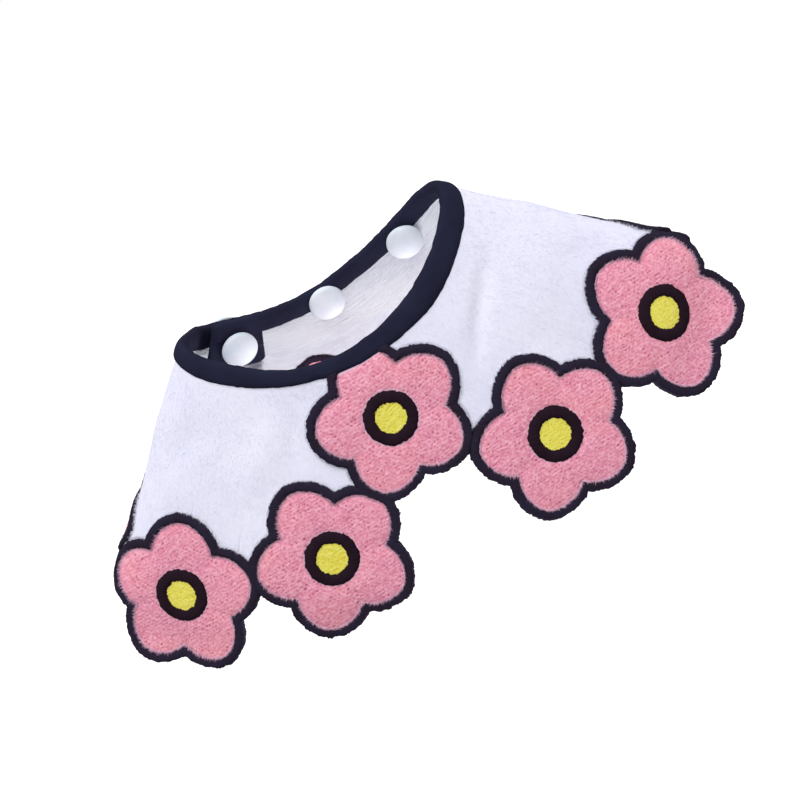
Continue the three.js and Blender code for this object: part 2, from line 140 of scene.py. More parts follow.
@dataclass
class Cone:
    """The oval cone that the flat cut is rolled into."""

    side_angle: float = 50.0
    front_angle: float = 15.0
    back_angle: float = 20.0
    power: float = 1.9
    steps: int = 1440
    neck_front: float = 65.4
    neck_back: float = 53.4
    strap_neck: float = 58.8
    lift_start: float = -54.0
    lift_done: float = -70.0
    lift_top: float = 6.6
    lift_hem: float = 3.8
    lift_top_radius: float = 56.0
    lift_hem_radius: float = 146.0

    def __post_init__(self) -> None:
        """Tables the cone's rays once round, their normals and angles on the cut.

        A ray points down and outwards: its x and y are the sine and cosine of a full
        turn, each to a signed power, times the tangents of the side and of the front
        or back angle.  The angle on the cut is the sum of the angles between rays.
        """
        self.phi = np.linspace(0.0, 2.0 * math.pi, self.steps + 1)
        exponent = 2.0 / self.power
        depth = np.where(np.cos(self.phi) > 0, self.front_angle, self.back_angle)
        x = math.tan(math.radians(self.side_angle)) * signed_power(np.sin(self.phi), exponent)
        y = -np.tan(np.radians(depth)) * signed_power(np.cos(self.phi), exponent)
        self.ray = unit(np.stack([x, y, -np.ones_like(x)], axis=-1))
        cosine = np.clip(np.sum(self.ray[1:] * self.ray[:-1], axis=-1), -1.0, 1.0)
        self.turn = np.concatenate([[0.0], np.cumsum(np.degrees(np.arccos(cosine)))])
        once = self.ray[:-1]
        normal = unit(np.cross(np.roll(once, -1, 0) - np.roll(once, 1, 0), once))
        inwards = np.sum(normal[:, :2] * once[:, :2], axis=-1, keepdims=True) < 0
        normal = np.where(inwards, -normal, normal)
        self.normal = np.vstack([normal, normal[:1]])
        self.full_turn = float(self.turn[-1])
        front = self.ray[0, 2] * self.neck_front
        back = self.ray[self.steps // 2, 2] * self.neck_back
        self.tip_height = -0.5 * float(front + back)

    def blended(self, table: Array, s: Array) -> Array:
        """A table's value at s, between its two nearest rows."""
        turn = np.mod(s, self.full_turn)
        if table.ndim == 1:
            return np.interp(turn, self.turn, table)
        return unit(np.stack([np.interp(turn, self.turn, c) for c in table.T], axis=-1))

    def neck(self, s: Array) -> Array:
        """The neck line's radius: large in front, small behind, level on the strap."""
        share = 0.5 - 0.5 * np.cos(self.blended(self.phi, s))
        round_it = self.neck_front + (self.neck_back - self.neck_front) * share
        strap = np.where(s < 0, smooth_step(-self.lift_start, -self.lift_done, -s), 0.0)
        return round_it + (self.strap_neck - round_it) * strap

    def lift(self, r: Array, s: Array) -> Array:
        """How far the over end stands off the cone."""
        down = (r - self.lift_top_radius) / (self.lift_hem_radius - self.lift_top_radius)
        height = self.lift_top + (self.lift_hem - self.lift_top) * down
        return np.where(s < 0, smooth_step(-self.lift_start, -self.lift_done, -s), 0.0) * height


@dataclass(frozen=True)
class Crease:
    """A soft trough (height below 0) or ridge (above 0) between two places."""

    r0: float
    s0: float
    r1: float
    s1: float
    height: float
    width: float
    bow: float = 0.0

    def at(self, x: Array, y: Array) -> Array:
        """Its height at a flat place.

        A bell curve across a bowed line, which rises and falls smoothly from one end
        of the line to the other.

        Args:
            x: the flat cut's x.
            y: the flat cut's y.

        Returns:
            The height in millimetres.
        """
        x0, y0 = flat_place(self.r0, self.s0)
        x1, y1 = flat_place(self.r1, self.s1)
        length = math.hypot(x1 - x0, y1 - y0)
        ax, ay = (x1 - x0) / length, (y1 - y0) / length
        along = ((x - x0) * ax + (y - y0) * ay) / length
        inside = np.clip(along, 0.0, 1.0)
        aside = (x - x0) * ay - (y - y0) * ax - self.bow * np.sin(math.pi * inside)
        ends = np.sin(math.pi * inside) ** 1.2
        return self.height * ends * np.exp(-((aside / self.width) ** 2))


CREASES = (
    # the front: a dimple beside the neck, broad swells, and folds from the flowers
    Crease(75.0, 41.0, 93.0, 15.0, -1.15, 2.6, 1.0),
    Crease(82.0, 47.0, 101.0, 27.0, 0.8, 6.5, -2.0),
    Crease(72.0, 12.0, 100.0, 6.0, -0.5, 4.0, 1.5),
    Crease(76.0, -38.0, 104.0, -49.0, -0.6, 5.0, 2.0),
    Crease(74.0, -24.0, 102.0, -33.0, 0.7, 5.5, -1.0),
    Crease(71.0, -20.0, 94.0, -21.0, -0.55, 3.2, 1.2),
    Crease(88.0, -47.0, 112.0, -56.0, 0.5, 4.5, 0.0),
    Crease(96.0, 41.0, 112.0, 46.0, -0.45, 3.8, -1.0),
    Crease(100.0, 30.0, 148.0, 29.0, -0.9, 6.0, 1.0),
    Crease(104.0, -30.0, 150.0, -30.5, 0.8, 6.5, 0.5),
    Crease(112.0, 7.5, 140.0, 8.5, 0.6, 4.5, 0.0),
    # the hem turned in under three of the front's flowers
    Crease(152.0, 27.0, 150.0, 53.0, -3.0, 10.0),
    Crease(147.0, -29.0, 147.0, -10.0, -2.6, 10.0),
    Crease(152.0, -53.0, 152.0, -30.0, -2.4, 10.0),
    # the right side and the back
    Crease(74.0, 66.0, 106.0, 61.0, 0.7, 4.5, 1.5),
    Crease(70.0, 74.0, 101.0, 72.0, -1.1, 3.6, -1.5),
    Crease(78.0, 88.0, 98.0, 83.0, -0.6, 3.0, 1.0),
    Crease(72.0, 97.0, 93.0, 101.0, 0.6, 4.5, 0.0),
    Crease(104.0, 69.0, 152.0, 70.0, 1.0, 6.0, 1.5),
    Crease(98.0, 90.0, 146.0, 89.0, -1.0, 6.5, -1.0),
)

# the tucks that sharpen the two side folds
TUCKS = (
    Crease(86.0, 54.0, 160.0, 54.5, -3.0, 8.0),
    Crease(84.0, -54.0, 146.0, -54.5, -2.1, 8.0),
)


@dataclass
class Cloth:
    """The cone with the cloth's creases and swells on it."""

    cone: Cone = field(default_factory=Cone)
    creases: tuple[Crease, ...] = CREASES
    tucks: tuple[Crease, ...] = TUCKS
    swell: float = 0.7
    swell_length: float = 34.0
    free_from: float = -56.0
    free_to: float = 118.0
    free_fade: float = 12.0
    tape_clear: float = 3.0
    tape_fade: float = 13.0
    curl: float = 0.5
    curl_from: float = 122.0
    curl_reach: float = 20.0
    curl_sides: tuple[float, float] = (36.0, 50.0)
    seed: int = 5

    def __post_init__(self) -> None:
        """Draws the slow swells."""
        self.noise = SoftNoise(self.seed)

    def drape(self, r: Array, s: Array) -> Array:
        """The creases' height: none at the neck tape and where the two ends overlap.

        The tucks are added in full, because they start below the tape.  The front's hem
        curls inwards with the square of the distance past the curl's start.
        """
        x, y = flat_place(r, s)
        height = sum(crease.at(x, y) for crease in self.creases)
        length = self.swell_length
        height = height + self.swell * self.noise.at(x / length + 9.3, y / length + 4.1)
        neck = self.cone.neck(s)
        away = smooth_step(0.0, 1.0, (r - neck - self.tape_clear) / self.tape_fade)
        start = smooth_step(self.free_from, self.free_from + self.free_fade, s)
        end = 1.0 - smooth_step(self.free_to - self.free_fade, self.free_to, s)
        past = np.maximum(r - self.curl_from, 0.0) / self.curl_reach
        curl = self.curl * past**2 * (1.0 - smooth_step(*self.curl_sides, np.abs(s)))
        tucked = sum(tuck.at(x, y) for tuck in self.tucks)
        return height * away * start * end + tucked - curl

    def place(self, r: Array, s: Array, w: Array) -> Array:
        """Points in space, in metres.

        A point is r along its ray from the cone's tip, and then w, the over end's lift
        and the creases' height along the ray's normal.

        Args:
            r: distance from the cone's tip.
            s: angle on the cut.
            w: height above the cloth's mid surface.

        Returns:
            An array with one more axis, of x, y and z.
        """
        r, s, w = np.broadcast_arrays(*(np.asarray(v, dtype=float) for v in (r, s, w)))
        height = w + self.cone.lift(r, s) + self.drape(r, s)
        ray = self.cone.blended(self.cone.ray, s)
        normal = self.cone.blended(self.cone.normal, s)
        point = ray * r[..., None] + normal * height[..., None]
        point[..., 2] += self.cone.tip_height
        return point * MM


# ---------------------------------------------------------------- the flat cut


@dataclass(frozen=True)
class Flower:
    """One flower's place on the cut, the direction of one petal, and its size.

    The direction is in degrees on the flat cut: 0 is +x, 90 is towards the tip.
    """

    name: str
    r: float
    s: float
    petal: float
    size: float = 1.0

    @property
    def centre(self) -> tuple[float, float]:
        """The flat cut's x and y of its centre."""
        x, y = flat_place(self.r, self.s)
        return float(x), float(y)


FLOWERS = (
    Flower("01", 129.0, -81.5, 9.0),
    Flower("02", 121.0, -62.5, 19.0),
    Flower("03", 132.5, -40.5, -87.0, 1.02),
    Flower("04", 119.9, -19.1, 92.0, 1.01),
    Flower("05", 86.4, -1.8, 90.0, 0.99),
    Flower("06", 121.2, 17.3, 90.0, 1.02),
    Flower("07", 132.6, 39.2, -95.0, 1.06),
    Flower("08", 124.8, 62.2, 22.0),
    Flower("09", 131.5, 80.0, 170.0),
    Flower("10", 121.2, 100.0, 190.0),
    Flower("11", 98.6, 121.2, 211.0),
)


@dataclass
class Cut:
    """The flat cut: its flowers' outlines, its hem, its two ends and its neck line."""

    cone: Cone
    flowers: tuple[Flower, ...] = FLOWERS
    petals: int = 5
    petal_tip: float = 22.5
    petal_notch: float = 16.2
    outline_tip: float = 25.5
    outline_notch: float = 19.9
    petal_power: float = 1.6
    shared_half: float = 1.4
    hem_inset: float = 0.8
    hem_reach: float = 30.0
    hem_step: float = 0.15
    tape_fold: float = 0.9
    inner_end: float = 134.4
    outer_end: float = -86.0
    outer_tip: float = -92.4
    outer_tip_radius: float = 112.0

    @property
    def half_pitch(self) -> float:
        """The angle from a petal's middle to the notch beside it."""
        return 180.0 / self.petals

    def off_petal(self, flower: Flower, angle: Array) -> Array:
        """The angle between a direction and the middle of its petal."""
        turned = np.mod(angle - flower.petal + self.half_pitch, 2 * self.half_pitch)
        return np.abs(turned - self.half_pitch)

    def around(self, flower: Flower, reach: Array, angle: Array) -> tuple[Array, Array]:
        """The r and s of places given by reach and direction from a flower's centre."""
        (x, y), way = flower.centre, np.radians(angle)
        return cut_place(x + reach * np.cos(way), y + reach * np.sin(way))

    def lobe(self, flower: Flower, angle: Array, tip: float, notch: float) -> Array:
        """The five-lobed edge: from tip to notch by a power of the angle off the tip."""
        fall = (self.off_petal(flower, angle) / self.half_pitch) ** self.petal_power
        return flower.size * (tip - (tip - notch) * fall)

    def until_neighbour(self, flower: Flower, angle: Array, margin: float) -> Array:
        """The reach before the line half-way to each neighbour, less a margin."""
        k = self.flowers.index(flower)
        near = self.flowers[max(0, k - 1):k] + self.flowers[k + 1:k + 2]
        x, y = flower.centre
        reach = np.full(np.shape(angle), np.inf)
        for other in near:
            dx, dy = other.centre[0] - x, other.centre[1] - y
            cosine = np.cos(np.radians(angle) - math.atan2(dy, dx))
            limit = (math.hypot(dx, dy) / 2 - margin) / np.maximum(cosine, 1e-6)
            reach = np.where(cosine > 0.2, np.minimum(reach, limit), reach)
        return reach

    def until_tape(self, flower: Flower, angle: Array, below: float) -> Array:
        """The reach before the circle that lies below the neck line at the flower."""
        edge = float(self.cone.neck(np.float64(flower.s))) + below
        x, y = flower.centre
        turn = np.radians(angle)
        along = np.cos(turn) * x + np.sin(turn) * y
        root = along * along - (x * x + y * y - edge * edge)
        meets = (along < 0) & (root > 0)
        return np.where(meets, -along - np.sqrt(np.maximum(root, 0)), np.inf)

    def petal_reach(self, flower: Flower, angle: Array) -> Array:
        """The pink petals' edge, cut by the outline shared with a neighbour."""
        own = self.lobe(flower, angle, self.petal_tip, self.petal_notch)
        return np.minimum(own, self.until_neighbour(flower, angle, self.shared_half))

    def outline_reach(self, flower: Flower, angle: Array, margin: float = 0.0) -> Array:
        """The outline's outer edge, half-way to the neighbour where they meet."""
        own = self.lobe(flower, angle, self.outline_tip, self.outline_notch)
        return np.minimum(own, self.until_neighbour(flower, angle, margin))

    def from_centre(self, flower: Flower, r: Array, s: Array) -> tuple[Array, Array]:
        """A place's distance from a flower's centre and its direction there."""
        x, y = flat_place(r, s)
        dx, dy = x - flower.centre[0], y - flower.centre[1]
        return np.hypot(dx, dy), np.degrees(np.arctan2(dy, dx))

    def inside_flowers(self, r: Array, s: Array, inset: float) -> Array:
        """Whether a place is inside any flower's outline by at least inset."""
        inside = np.zeros(np.broadcast(r, s).shape, dtype=bool)
        for flower in self.flowers:
            away, angle = self.from_centre(flower, r, s)
            inside |= away < self.outline_reach(flower, angle) - inset
        return inside

    def row_radius(self, s: Array) -> Array:
        """The radius of the line from each flower's centre to the next."""
        places = np.array([flower.centre for flower in self.flowers])
        angles = np.array([flower.s for flower in self.flowers])
        x = np.interp(s, angles, places[:, 0])
        y = np.interp(s, angles, places[:, 1])
        beyond = (s < angles[0]) | (s > angles[-1])
        ends = np.where(s < angles[0], self.flowers[0].r, self.flowers[-1].r)
        return np.where(beyond, ends, np.hypot(x, y))

    def hem(self, s: Array) -> Array:
        """The cloth's lower edge: where a ray first leaves the flowers, a little inside.

        Each ray is looked at from the line of the flowers' centres outwards, in steps.
        """
        start = self.row_radius(s)
        steps = np.arange(0.0, self.hem_reach, self.hem_step)
        r = start[:, None] + steps[None, :]
        inside = self.inside_flowers(r, s[:, None], self.hem_inset)
        out = ~inside
        first = np.where(out.any(axis=1), out.argmax(axis=1), len(steps) - 1)
        return start + steps[np.maximum(first - 1, 0)]

    def top(self, s: Array) -> Array:
        """The cloth's upper edge, inside the tape; the over end slopes to its tip."""
        neck = self.cone.neck(s) - self.tape_fold
        slope = (self.outer_end - s) / (self.outer_end - self.outer_tip)
        return np.where(slope > 0, neck + (self.outer_tip_radius - neck) * slope, neck)

    def flat_size(self) -> tuple[float, float, float]:
        """The whole cut's width, length and area, in metres and square metres."""
        s = np.linspace(self.outer_tip, self.inner_end, 1200)
        hem, top = self.hem(s), self.top(s)
        x, y = flat_place(np.stack([hem, top]), s)
        step = math.radians(s[1] - s[0])
        area = float(np.sum((hem**2 - top**2) / 2) * step)
        return np.ptp(x) * MM, np.ptp(y) * MM, area * MM * MM


# ---------------------------------------------------------------- meshes


def grid_quads(columns: int, rows: int, wrap: bool = False, start: int = 0) -> Array:
    """Quads of a grid whose points run row after row.

    Args:
        columns: points in a row.
        rows: number of rows.
        wrap: whether each row's last point joins its first.
        start: the first point's number.

    Returns:
        An array of four point numbers a quad.
    """
    i = np.arange(columns if wrap else columns - 1)
    j = np.arange(rows - 1)[:, None]
    right = (i + 1) % columns
    quads = np.stack([
        j * columns + i, j * columns + right, (j + 1) * columns + right, (j + 1) * columns + i,
    ], axis=-1)
    return quads.reshape(-1, 4) + start


def two_sided_faces(rows: int, columns: int) -> tuple[Array, Array, Array]:
    """Front, back and edge walls of two equal grids, the back's points numbered last."""
    far = rows * columns
    back = grid_quads(columns, rows, start=far)[:, ::-1]
    number = np.arange(far).reshape(rows, columns)
    edge = np.concatenate([
        number[0], number[1:, -1], number[-1, -2::-1], number[-2:0:-1, 0]])
    after = np.roll(edge, -1)
    walls = np.stack([edge, edge + far, after + far, after], axis=-1)
    return grid_quads(columns, rows), back, walls


def signed_volume(points: Array, groups: list[Array]) -> float:
    """Six times the volume inside the faces, above 0 where they point out."""
    total = 0.0
    for faces in groups:
        for k in range(1, faces.shape[1] - 1):
            a, b, c = points[faces[:, 0]], points[faces[:, k]], points[faces[:, k + 1]]
            total += float(np.sum(a * np.cross(b, c)))
    return total


@dataclass
class Shape:
    """A mesh as arrays: points in metres, groups of faces, and values at the points."""

    points: Array
    groups: list[Array]
    values: dict[str, Array] = field(default_factory=dict)
    finish_of_face: Array | None = None

    def turned_out(self) -> "Shape":
        """The same closed shape, with its faces pointing outwards."""
        centred = self.points - self.points.mean(axis=0)
        if signed_volume(centred, self.groups) < 0:
            self.groups = [faces[:, ::-1] for faces in self.groups]
        return self

    def triangles(self) -> int:
        """How many triangles its faces make."""
        return sum(len(faces) * (faces.shape[1] - 2) for faces in self.groups)


class Slot(Enum):
    """The material slots, by name."""

    PLUSH = "plush"
    TAPE = "tape"
    PETALS = "petals"
    OUTLINE = "outline"
    CENTRE = "flower_centre"
    SNAP = "snap"


@dataclass
class Workshop:
    """Puts shapes into the scene as pieces of the collar."""

    body: str = "root"
    total: int = 0

    def piece(
        self,
        name: str,
        shape: Shape,
        finishes: list[bpy.types.Material],
        stands_for: tuple[str, ...] = (),
    ) -> bpy.types.Object:
        """Makes one piece, hangs it under the body's empty, and hides the CAD parts that it replaces.

        Args:
            name: the piece's name.
            shape: its mesh as arrays.
            finishes: its materials, in the order that finish_of_face counts them.
            stands_for: the CAD nodes that it replaces.

        Returns:
            The new object, at the origin.
        """
        mesh = bpy.data.meshes.new(name)
        sizes = np.concatenate([np.full(len(g), g.shape[1]) for g in shape.groups])
        corners = np.concatenate([g.ravel() for g in shape.groups])
        mesh.vertices.add(len(shape.points))
        mesh.vertices.foreach_set("co", shape.points.astype(np.float32).ravel())
        mesh.loops.add(len(corners))
        mesh.loops.foreach_set("vertex_index", corners.astype(np.int32))
        mesh.polygons.add(len(sizes))
        starts = np.concatenate([[0], np.cumsum(sizes)[:-1]])
        mesh.polygons.foreach_set("loop_start", starts.astype(np.int32))
        mesh.polygons.foreach_set("use_smooth", np.ones(len(sizes), dtype=bool))
        for finish in finishes:
            mesh.materials.append(finish)
        if shape.finish_of_face is not None:
            mesh.polygons.foreach_set("material_index", shape.finish_of_face.astype(np.int32))
        for key, values in shape.values.items():
            kind = "FLOAT_VECTOR" if values.ndim == 2 else "FLOAT"
            layer = mesh.attributes.new(key, kind, "POINT")
            word = "vector" if values.ndim == 2 else "value"
            layer.data.foreach_set(word, values.astype(np.float32).ravel())
        mesh.update(calc_edges=True)
        mesh.validate()
        made = bpy.data.objects.new(name, mesh)
        bpy.context.scene.collection.objects.link(made)
        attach(made, self.body)
        if stands_for:
            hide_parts(*stands_for)
        self.total += shape.triangles()
        LOG.info("%s: %d triangles", name, shape.triangles())
        return made


def superellipse(count: int, power_across: float, power_up: float) -> tuple[Array, Array]:
    """A closed rounded section: signed powers of the cosine and the sine of a turn."""
    t = np.linspace(0.0, 2.0 * math.pi, count, endpoint=False)
    return signed_power(np.cos(t), power_across), signed_power(np.sin(t), power_up)


def tube(points: Array, values: dict[str, Array], closed: bool) -> Shape:
    """A closed tube through stations of section points.

    Args:
        points: stations by section points by xyz.
        values: values at the same points.
        closed: whether the last station joins the first; else both ends are capped.

    Returns:
        The shape, turned outwards.
    """
    stations, count = points.shape[:2]
    quads = grid_quads(count, stations, wrap=True)
    groups = [quads]
    last = (stations - 1) * count
    if closed:
        i = np.arange(count)
        right = (i + 1) % count
        groups = [np.vstack([quads, np.stack([last + i, last + right, right, i], axis=-1)])]
    else:
        ring = np.arange(count)
        groups.append(np.stack([ring[::-1], last + ring]))
    flat_values = {k: v.reshape(stations * count, -1).squeeze() for k, v in values.items()}
    return Shape(points.reshape(-1, 3), groups, flat_values).turned_out()


def lathe(profile: Array, segments: int) -> Shape:
    """A closed body turned round +Z, in millimetres.

    Args:
        profile: radius and height of each point; the first and last lie on the axis.
        segments: facets once round.

    Returns:
        The shape, with one point at each pole.
    """
    turn = np.linspace(0.0, 2.0 * math.pi, segments, endpoint=False)
    ring = profile[1:-1]
    x = ring[:, :1] * np.cos(turn)
    y = ring[:, :1] * np.sin(turn)
    z = np.broadcast_to(ring[:, 1:], x.shape)
    rows = np.stack([x, y, z], axis=-1).reshape(-1, 3)
    poles = np.array([[0, 0, profile[0, 1]], [0, 0, profile[-1, 1]]], dtype=float)
    first, last = len(rows), len(rows) + 1
    i = np.arange(segments)
    right = (i + 1) % segments
    top = (len(ring) - 1) * segments
    fans = np.vstack([
        np.stack([np.full(segments, first), right, i], axis=-1),
        np.stack([np.full(segments, last), top + i, top + right], axis=-1),
    ])
    return Shape(np.vstack([rows, poles]), [grid_quads(segments, len(ring), wrap=True), fans])


# ---------------------------------------------------------------- finishes


EXPOSURE = 1.13


def tone(red: int, green: int, blue: int) -> tuple[float, float, float, float]:
    """A fabric's own colour, from its 0 to 255 colour as seen in the studio's light."""
    seen = np.array([red, green, blue]) / 255.0
    linear = np.where(seen <= 0.04045, seen / 12.92, ((seen + 0.055) / 1.055) ** 2.4)
    own = np.minimum(linear / EXPOSURE, 0.97)
    return float(own[0]), float(own[1]), float(own[2]), 1.0


class Graph:
    """A material's nodes, with short ways to add and join them."""

    def __init__(self, name: str, roughness: float, specular: float, sheen: float = 0.0) -> None:
        """Makes the material and sets what is the same all over the surface."""
        self.material = bpy.data.materials.new(name)
        self.material.use_nodes = True
        self.nodes = self.material.node_tree.nodes
        self.links = self.material.node_tree.links
        self.shader = self.nodes["Principled BSDF"]
        self.shader.inputs["Roughness"].default_value = roughness
        self.shader.inputs["Specular IOR Level"].default_value = specular
        self.shader.inputs["Sheen Weight"].default_value = sheen

    def add(self, kind: str, inputs: dict | None = None, **settings) -> bpy.types.Node:
        """Adds a node.

        Args:
            kind: the node's type, without its ShaderNode.
            inputs: a value or a socket for each input, by name or number.
            settings: the node's own settings.

        Returns:
            The node.
        """
        node = self.nodes.new("ShaderNode" + kind)
        for key, value in settings.items():
            setattr(node, key, value)
        for key, value in (inputs or {}).items():
            if isinstance(value, bpy.types.NodeSocket):
                self.links.new(value, node.inputs[key])
            else:
                node.inputs[key].default_value = value
        return node

    def value_of(self, name: str) -> bpy.types.NodeSocket:
        """A number that the mesh holds at its points."""
        return self.add("Attribute", attribute_name=name).outputs["Fac"]

    def place_on_cut(self, scale: tuple[float, float, float]) -> bpy.types.NodeSocket:
        """The mesh's own place on the flat cut, scaled along each direction."""
        place = self.add("Attribute", attribute_name="cut").outputs["Vector"]
        return self.add("Mapping", {"Vector": place, "Scale": scale}).outputs["Vector"]

    def noise(self, vector: bpy.types.NodeSocket, scale: float, detail: float) -> bpy.types.NodeSocket:
        """Noise from 0 to 1 at a place."""
        inputs = {"Vector": vector, "Scale": scale, "Detail": detail}
        return self.add("TexNoise", inputs).outputs["Fac"]

    def spread(self, value: bpy.types.NodeSocket, low: float, high: float) -> bpy.types.NodeSocket:
        """A value stretched so that low becomes 0 and high becomes 1."""
        inputs = {"Value": value, "From Min": low, "From Max": high}
        return self.add("MapRange", inputs).outputs["Result"]

    def mix(self, share: bpy.types.NodeSocket, a: object, b: object) -> bpy.types.NodeSocket:
        """A colour between a and b; each is a colour or a socket."""
        node = self.add("Mix", {0: share, 6: a, 7: b}, data_type="RGBA")
        return node.outputs[2]

    def sum_of(self, a: bpy.types.NodeSocket, b: bpy.types.NodeSocket, share: float) -> bpy.types.NodeSocket:
        """The first value plus a share of the second."""
        inputs = {0: b, 1: share, 2: a}
        return self.add("Math", inputs, operation="MULTIPLY_ADD").outputs[0]

    def finish(
        self, colour: bpy.types.NodeSocket, height: bpy.types.NodeSocket, rise: float,
    ) -> bpy.types.Material:
        """Joins the colour and a relief of rise millimetres to the shader."""
        inputs = {"Height": height, "Distance": rise * MM, "Strength": 1.0}
        bump = self.add("Bump", inputs)
        self.links.new(colour, self.shader.inputs["Base Color"])
        self.links.new(bump.outputs["Normal"], self.shader.inputs["Normal"])
        return self.material


@dataclass(frozen=True)
class PlushFinish:
    """Short white pile, with soft tufts and a slow change of shade."""

    name: str
    light: tuple[int, int, int]
    shade: tuple[int, int, int]
    tuft: tuple[float, float, float]
    rise: float
    sheen: float = 0.12

    def make(self) -> bpy.types.Material:
        """Builds the material from slow noise, combed tufts and fine fibre."""
        graph = Graph(self.name, 0.95, 0.15, self.sheen)
        slow = graph.noise(graph.place_on_cut((0.03, 0.03, 0.03)), 1.0, 2.0)
        tufts = graph.noise(graph.place_on_cut(self.tuft), 1.0, 4.0)
        fibre = graph.noise(graph.place_on_cut((4.5, 4.5, 4.5)), 1.0, 2.0)
        share = graph.spread(graph.sum_of(slow, tufts, 0.6), 0.55, 1.05)
        colour = graph.mix(share, tone(*self.shade), tone(*self.light))
        return graph.finish(colour, graph.sum_of(tufts, fibre, 0.5), self.rise)


@dataclass(frozen=True)
class StitchFinish:
    """Dense embroidery: flecks from the mesh's own stitches, with painted shade in the holes between them
    and a little painted light on their crests, and a slow change of hue.
    """

    name: str
    # dark is painted shade for the holes between stitches, with some random dark flecks
    dark: tuple[int, int, int]
    body: tuple[int, int, int]
    # light gives random light flecks and a little painted light on the stitches' crests
    light: tuple[int, int, int]
    warm: tuple[int, int, int]
    worn: tuple[int, int, int]
    rise: float = 0.12

    def make(self) -> bpy.types.Material:
        """Builds the material from the stitches' flecks and painted shading, slow noise and fine thread."""
        graph = Graph(self.name, 0.9, 0.08, 0.08)
        # the mesh's fleck, with painted shade in the stitch holes and painted light on the crests
        fleck_and_painted_shading = graph.value_of("fleck_and_painted_shading")
        slow = graph.noise(graph.place_on_cut((0.055, 0.055, 0.055)), 1.0, 2.0)
        thread = graph.noise(graph.place_on_cut((2.6, 5.2, 2.6)), 1.0, 3.0)
        ground = graph.mix(graph.spread(slow, 0.45, 0.72), tone(*self.body), tone(*self.warm))
        lively = graph.sum_of(fleck_and_painted_shading, graph.spread(thread, 0.2, 0.8), 0.35)
        # towards the light colour: random flecks and a little painted light on the crests
        lit = graph.mix(graph.spread(lively, 0.52, 1.1), ground, tone(*self.light))
        # towards the dark colour: painted shade in the stitches' holes, and random dark flecks
        flecked_and_pit_shaded = graph.mix(graph.spread(lively, 0.46, 0.04), lit, tone(*self.dark))
        frayed = graph.sum_of(graph.value_of("rim"), thread, 0.7)
        colour = graph.mix(graph.spread(frayed, 0.62, 1.5), flecked_and_pit_shaded, tone(*self.worn))
        return graph.finish(colour, thread, self.rise)


@dataclass(frozen=True)
class DarkFinish:
    """Nearly black thread or tape: a fine rib, and lint that lightens it here and there."""

    name: str
    body: tuple[int, int, int]
    light: tuple[int, int, int]
    rib: tuple[float, float, float]
    rise: float
    specular: float = 0.05

    def make(self) -> bpy.types.Material:
        """Builds the material from a stretched rib, slow noise and fine fibre."""
        graph = Graph(self.name, 0.95, self.specular)
        slow = graph.noise(graph.place_on_cut((0.09, 0.09, 0.09)), 1.0, 3.0)
        rib = graph.noise(graph.place_on_cut(self.rib), 1.0, 2.0)
        fibre = graph.noise(graph.place_on_cut((5.0, 5.0, 5.0)), 1.0, 2.0)
        share = graph.spread(graph.sum_of(slow, rib, 0.5), 0.5, 1.0)
        colour = graph.mix(share, tone(*self.body), tone(*self.light))
        return graph.finish(colour, graph.sum_of(rib, fibre, 0.4), self.rise)


@dataclass(frozen=True)
class SnapFinish:
    """Glossy milky plastic, a little uneven from the mould."""

    name: str = "milky_snap"
    body: tuple[int, int, int] = (222, 230, 240)
    cool: tuple[int, int, int] = (207, 216, 228)

    def make(self) -> bpy.types.Material:
        """Builds the material: a faint cloud of tone and a barely uneven surface."""
        graph = Graph(self.name, 0.55, 0.4)
        graph.shader.inputs["Coat Weight"].default_value = 0.2
        graph.shader.inputs["Coat Roughness"].default_value = 0.35
        graph.shader.inputs["Subsurface Weight"].default_value = 0.15
        graph.shader.inputs["Subsurface Scale"].default_value = 0.002
        place = graph.add("TexCoord").outputs["Object"]
        cloud = graph.noise(place, 140.0, 2.0)
        colour = graph.mix(graph.spread(cloud, 0.3, 0.7), tone(*self.cool), tone(*self.body))
        return graph.finish(colour, graph.noise(place, 420.0, 1.0), 0.02)


@dataclass
class Finishes:
    """Every material of the collar, made once."""

    def __post_init__(self) -> None:
        """Makes the materials."""
        self.outer = PlushFinish(
            "plush_outer", (239, 239, 255), (228, 227, 247), (1.5, 0.55, 1.0), 0.16).make()
        self.inner = PlushFinish(
            "plush_inner", (243, 250, 255), (228, 235, 248), (0.14, 1.5, 1.0), 0.7).make()
        self.nap = PlushFinish(
            "nap_fibre", (250, 253, 255), (217, 221, 238), (0.3, 1.6, 0.8), 0.02).make()
        self.pile = PlushFinish(
            "pile_fibre", (242, 242, 255), (232, 231, 250), (0.8, 0.8, 0.8), 0.02).make()
        # in each stitch finish the first colour is painted shade in the holes between stitches, and the
        # third a light tone with a little painted light on the crests
        self.pink = StitchFinish(
            "pink_stitch", (148, 74, 104), (226, 140, 166), (252, 188, 206), (232, 144, 159),
            (216, 188, 210)).make()
        self.yellow = StitchFinish(
            "yellow_stitch", (196, 182, 58), (230, 219, 86), (240, 234, 124),
            (225, 211, 76), (206, 192, 90)).make()
        self.fuzz = PlushFinish(
            "petal_fuzz", (238, 190, 210), (214, 168, 196), (0.8, 0.8, 0.8), 0.02).make()
        self.outline = DarkFinish(
            "outline_stitch", (38, 28, 40), (42, 39, 58), (0.5, 2.8, 1.0), 0.14).make()
        self.ring = DarkFinish(
            "ring_stitch", (33, 18, 28), (40, 27, 38), (0.5, 2.8, 1.0), 0.14).make()
        self.tape = DarkFinish(
            "navy_tape", (31, 31, 49), (38, 40, 61), (1.1, 3.2, 1.0), 0.10).make()
        self.snap = SnapFinish().make()


# ---------------------------------------------------------------- the plush body


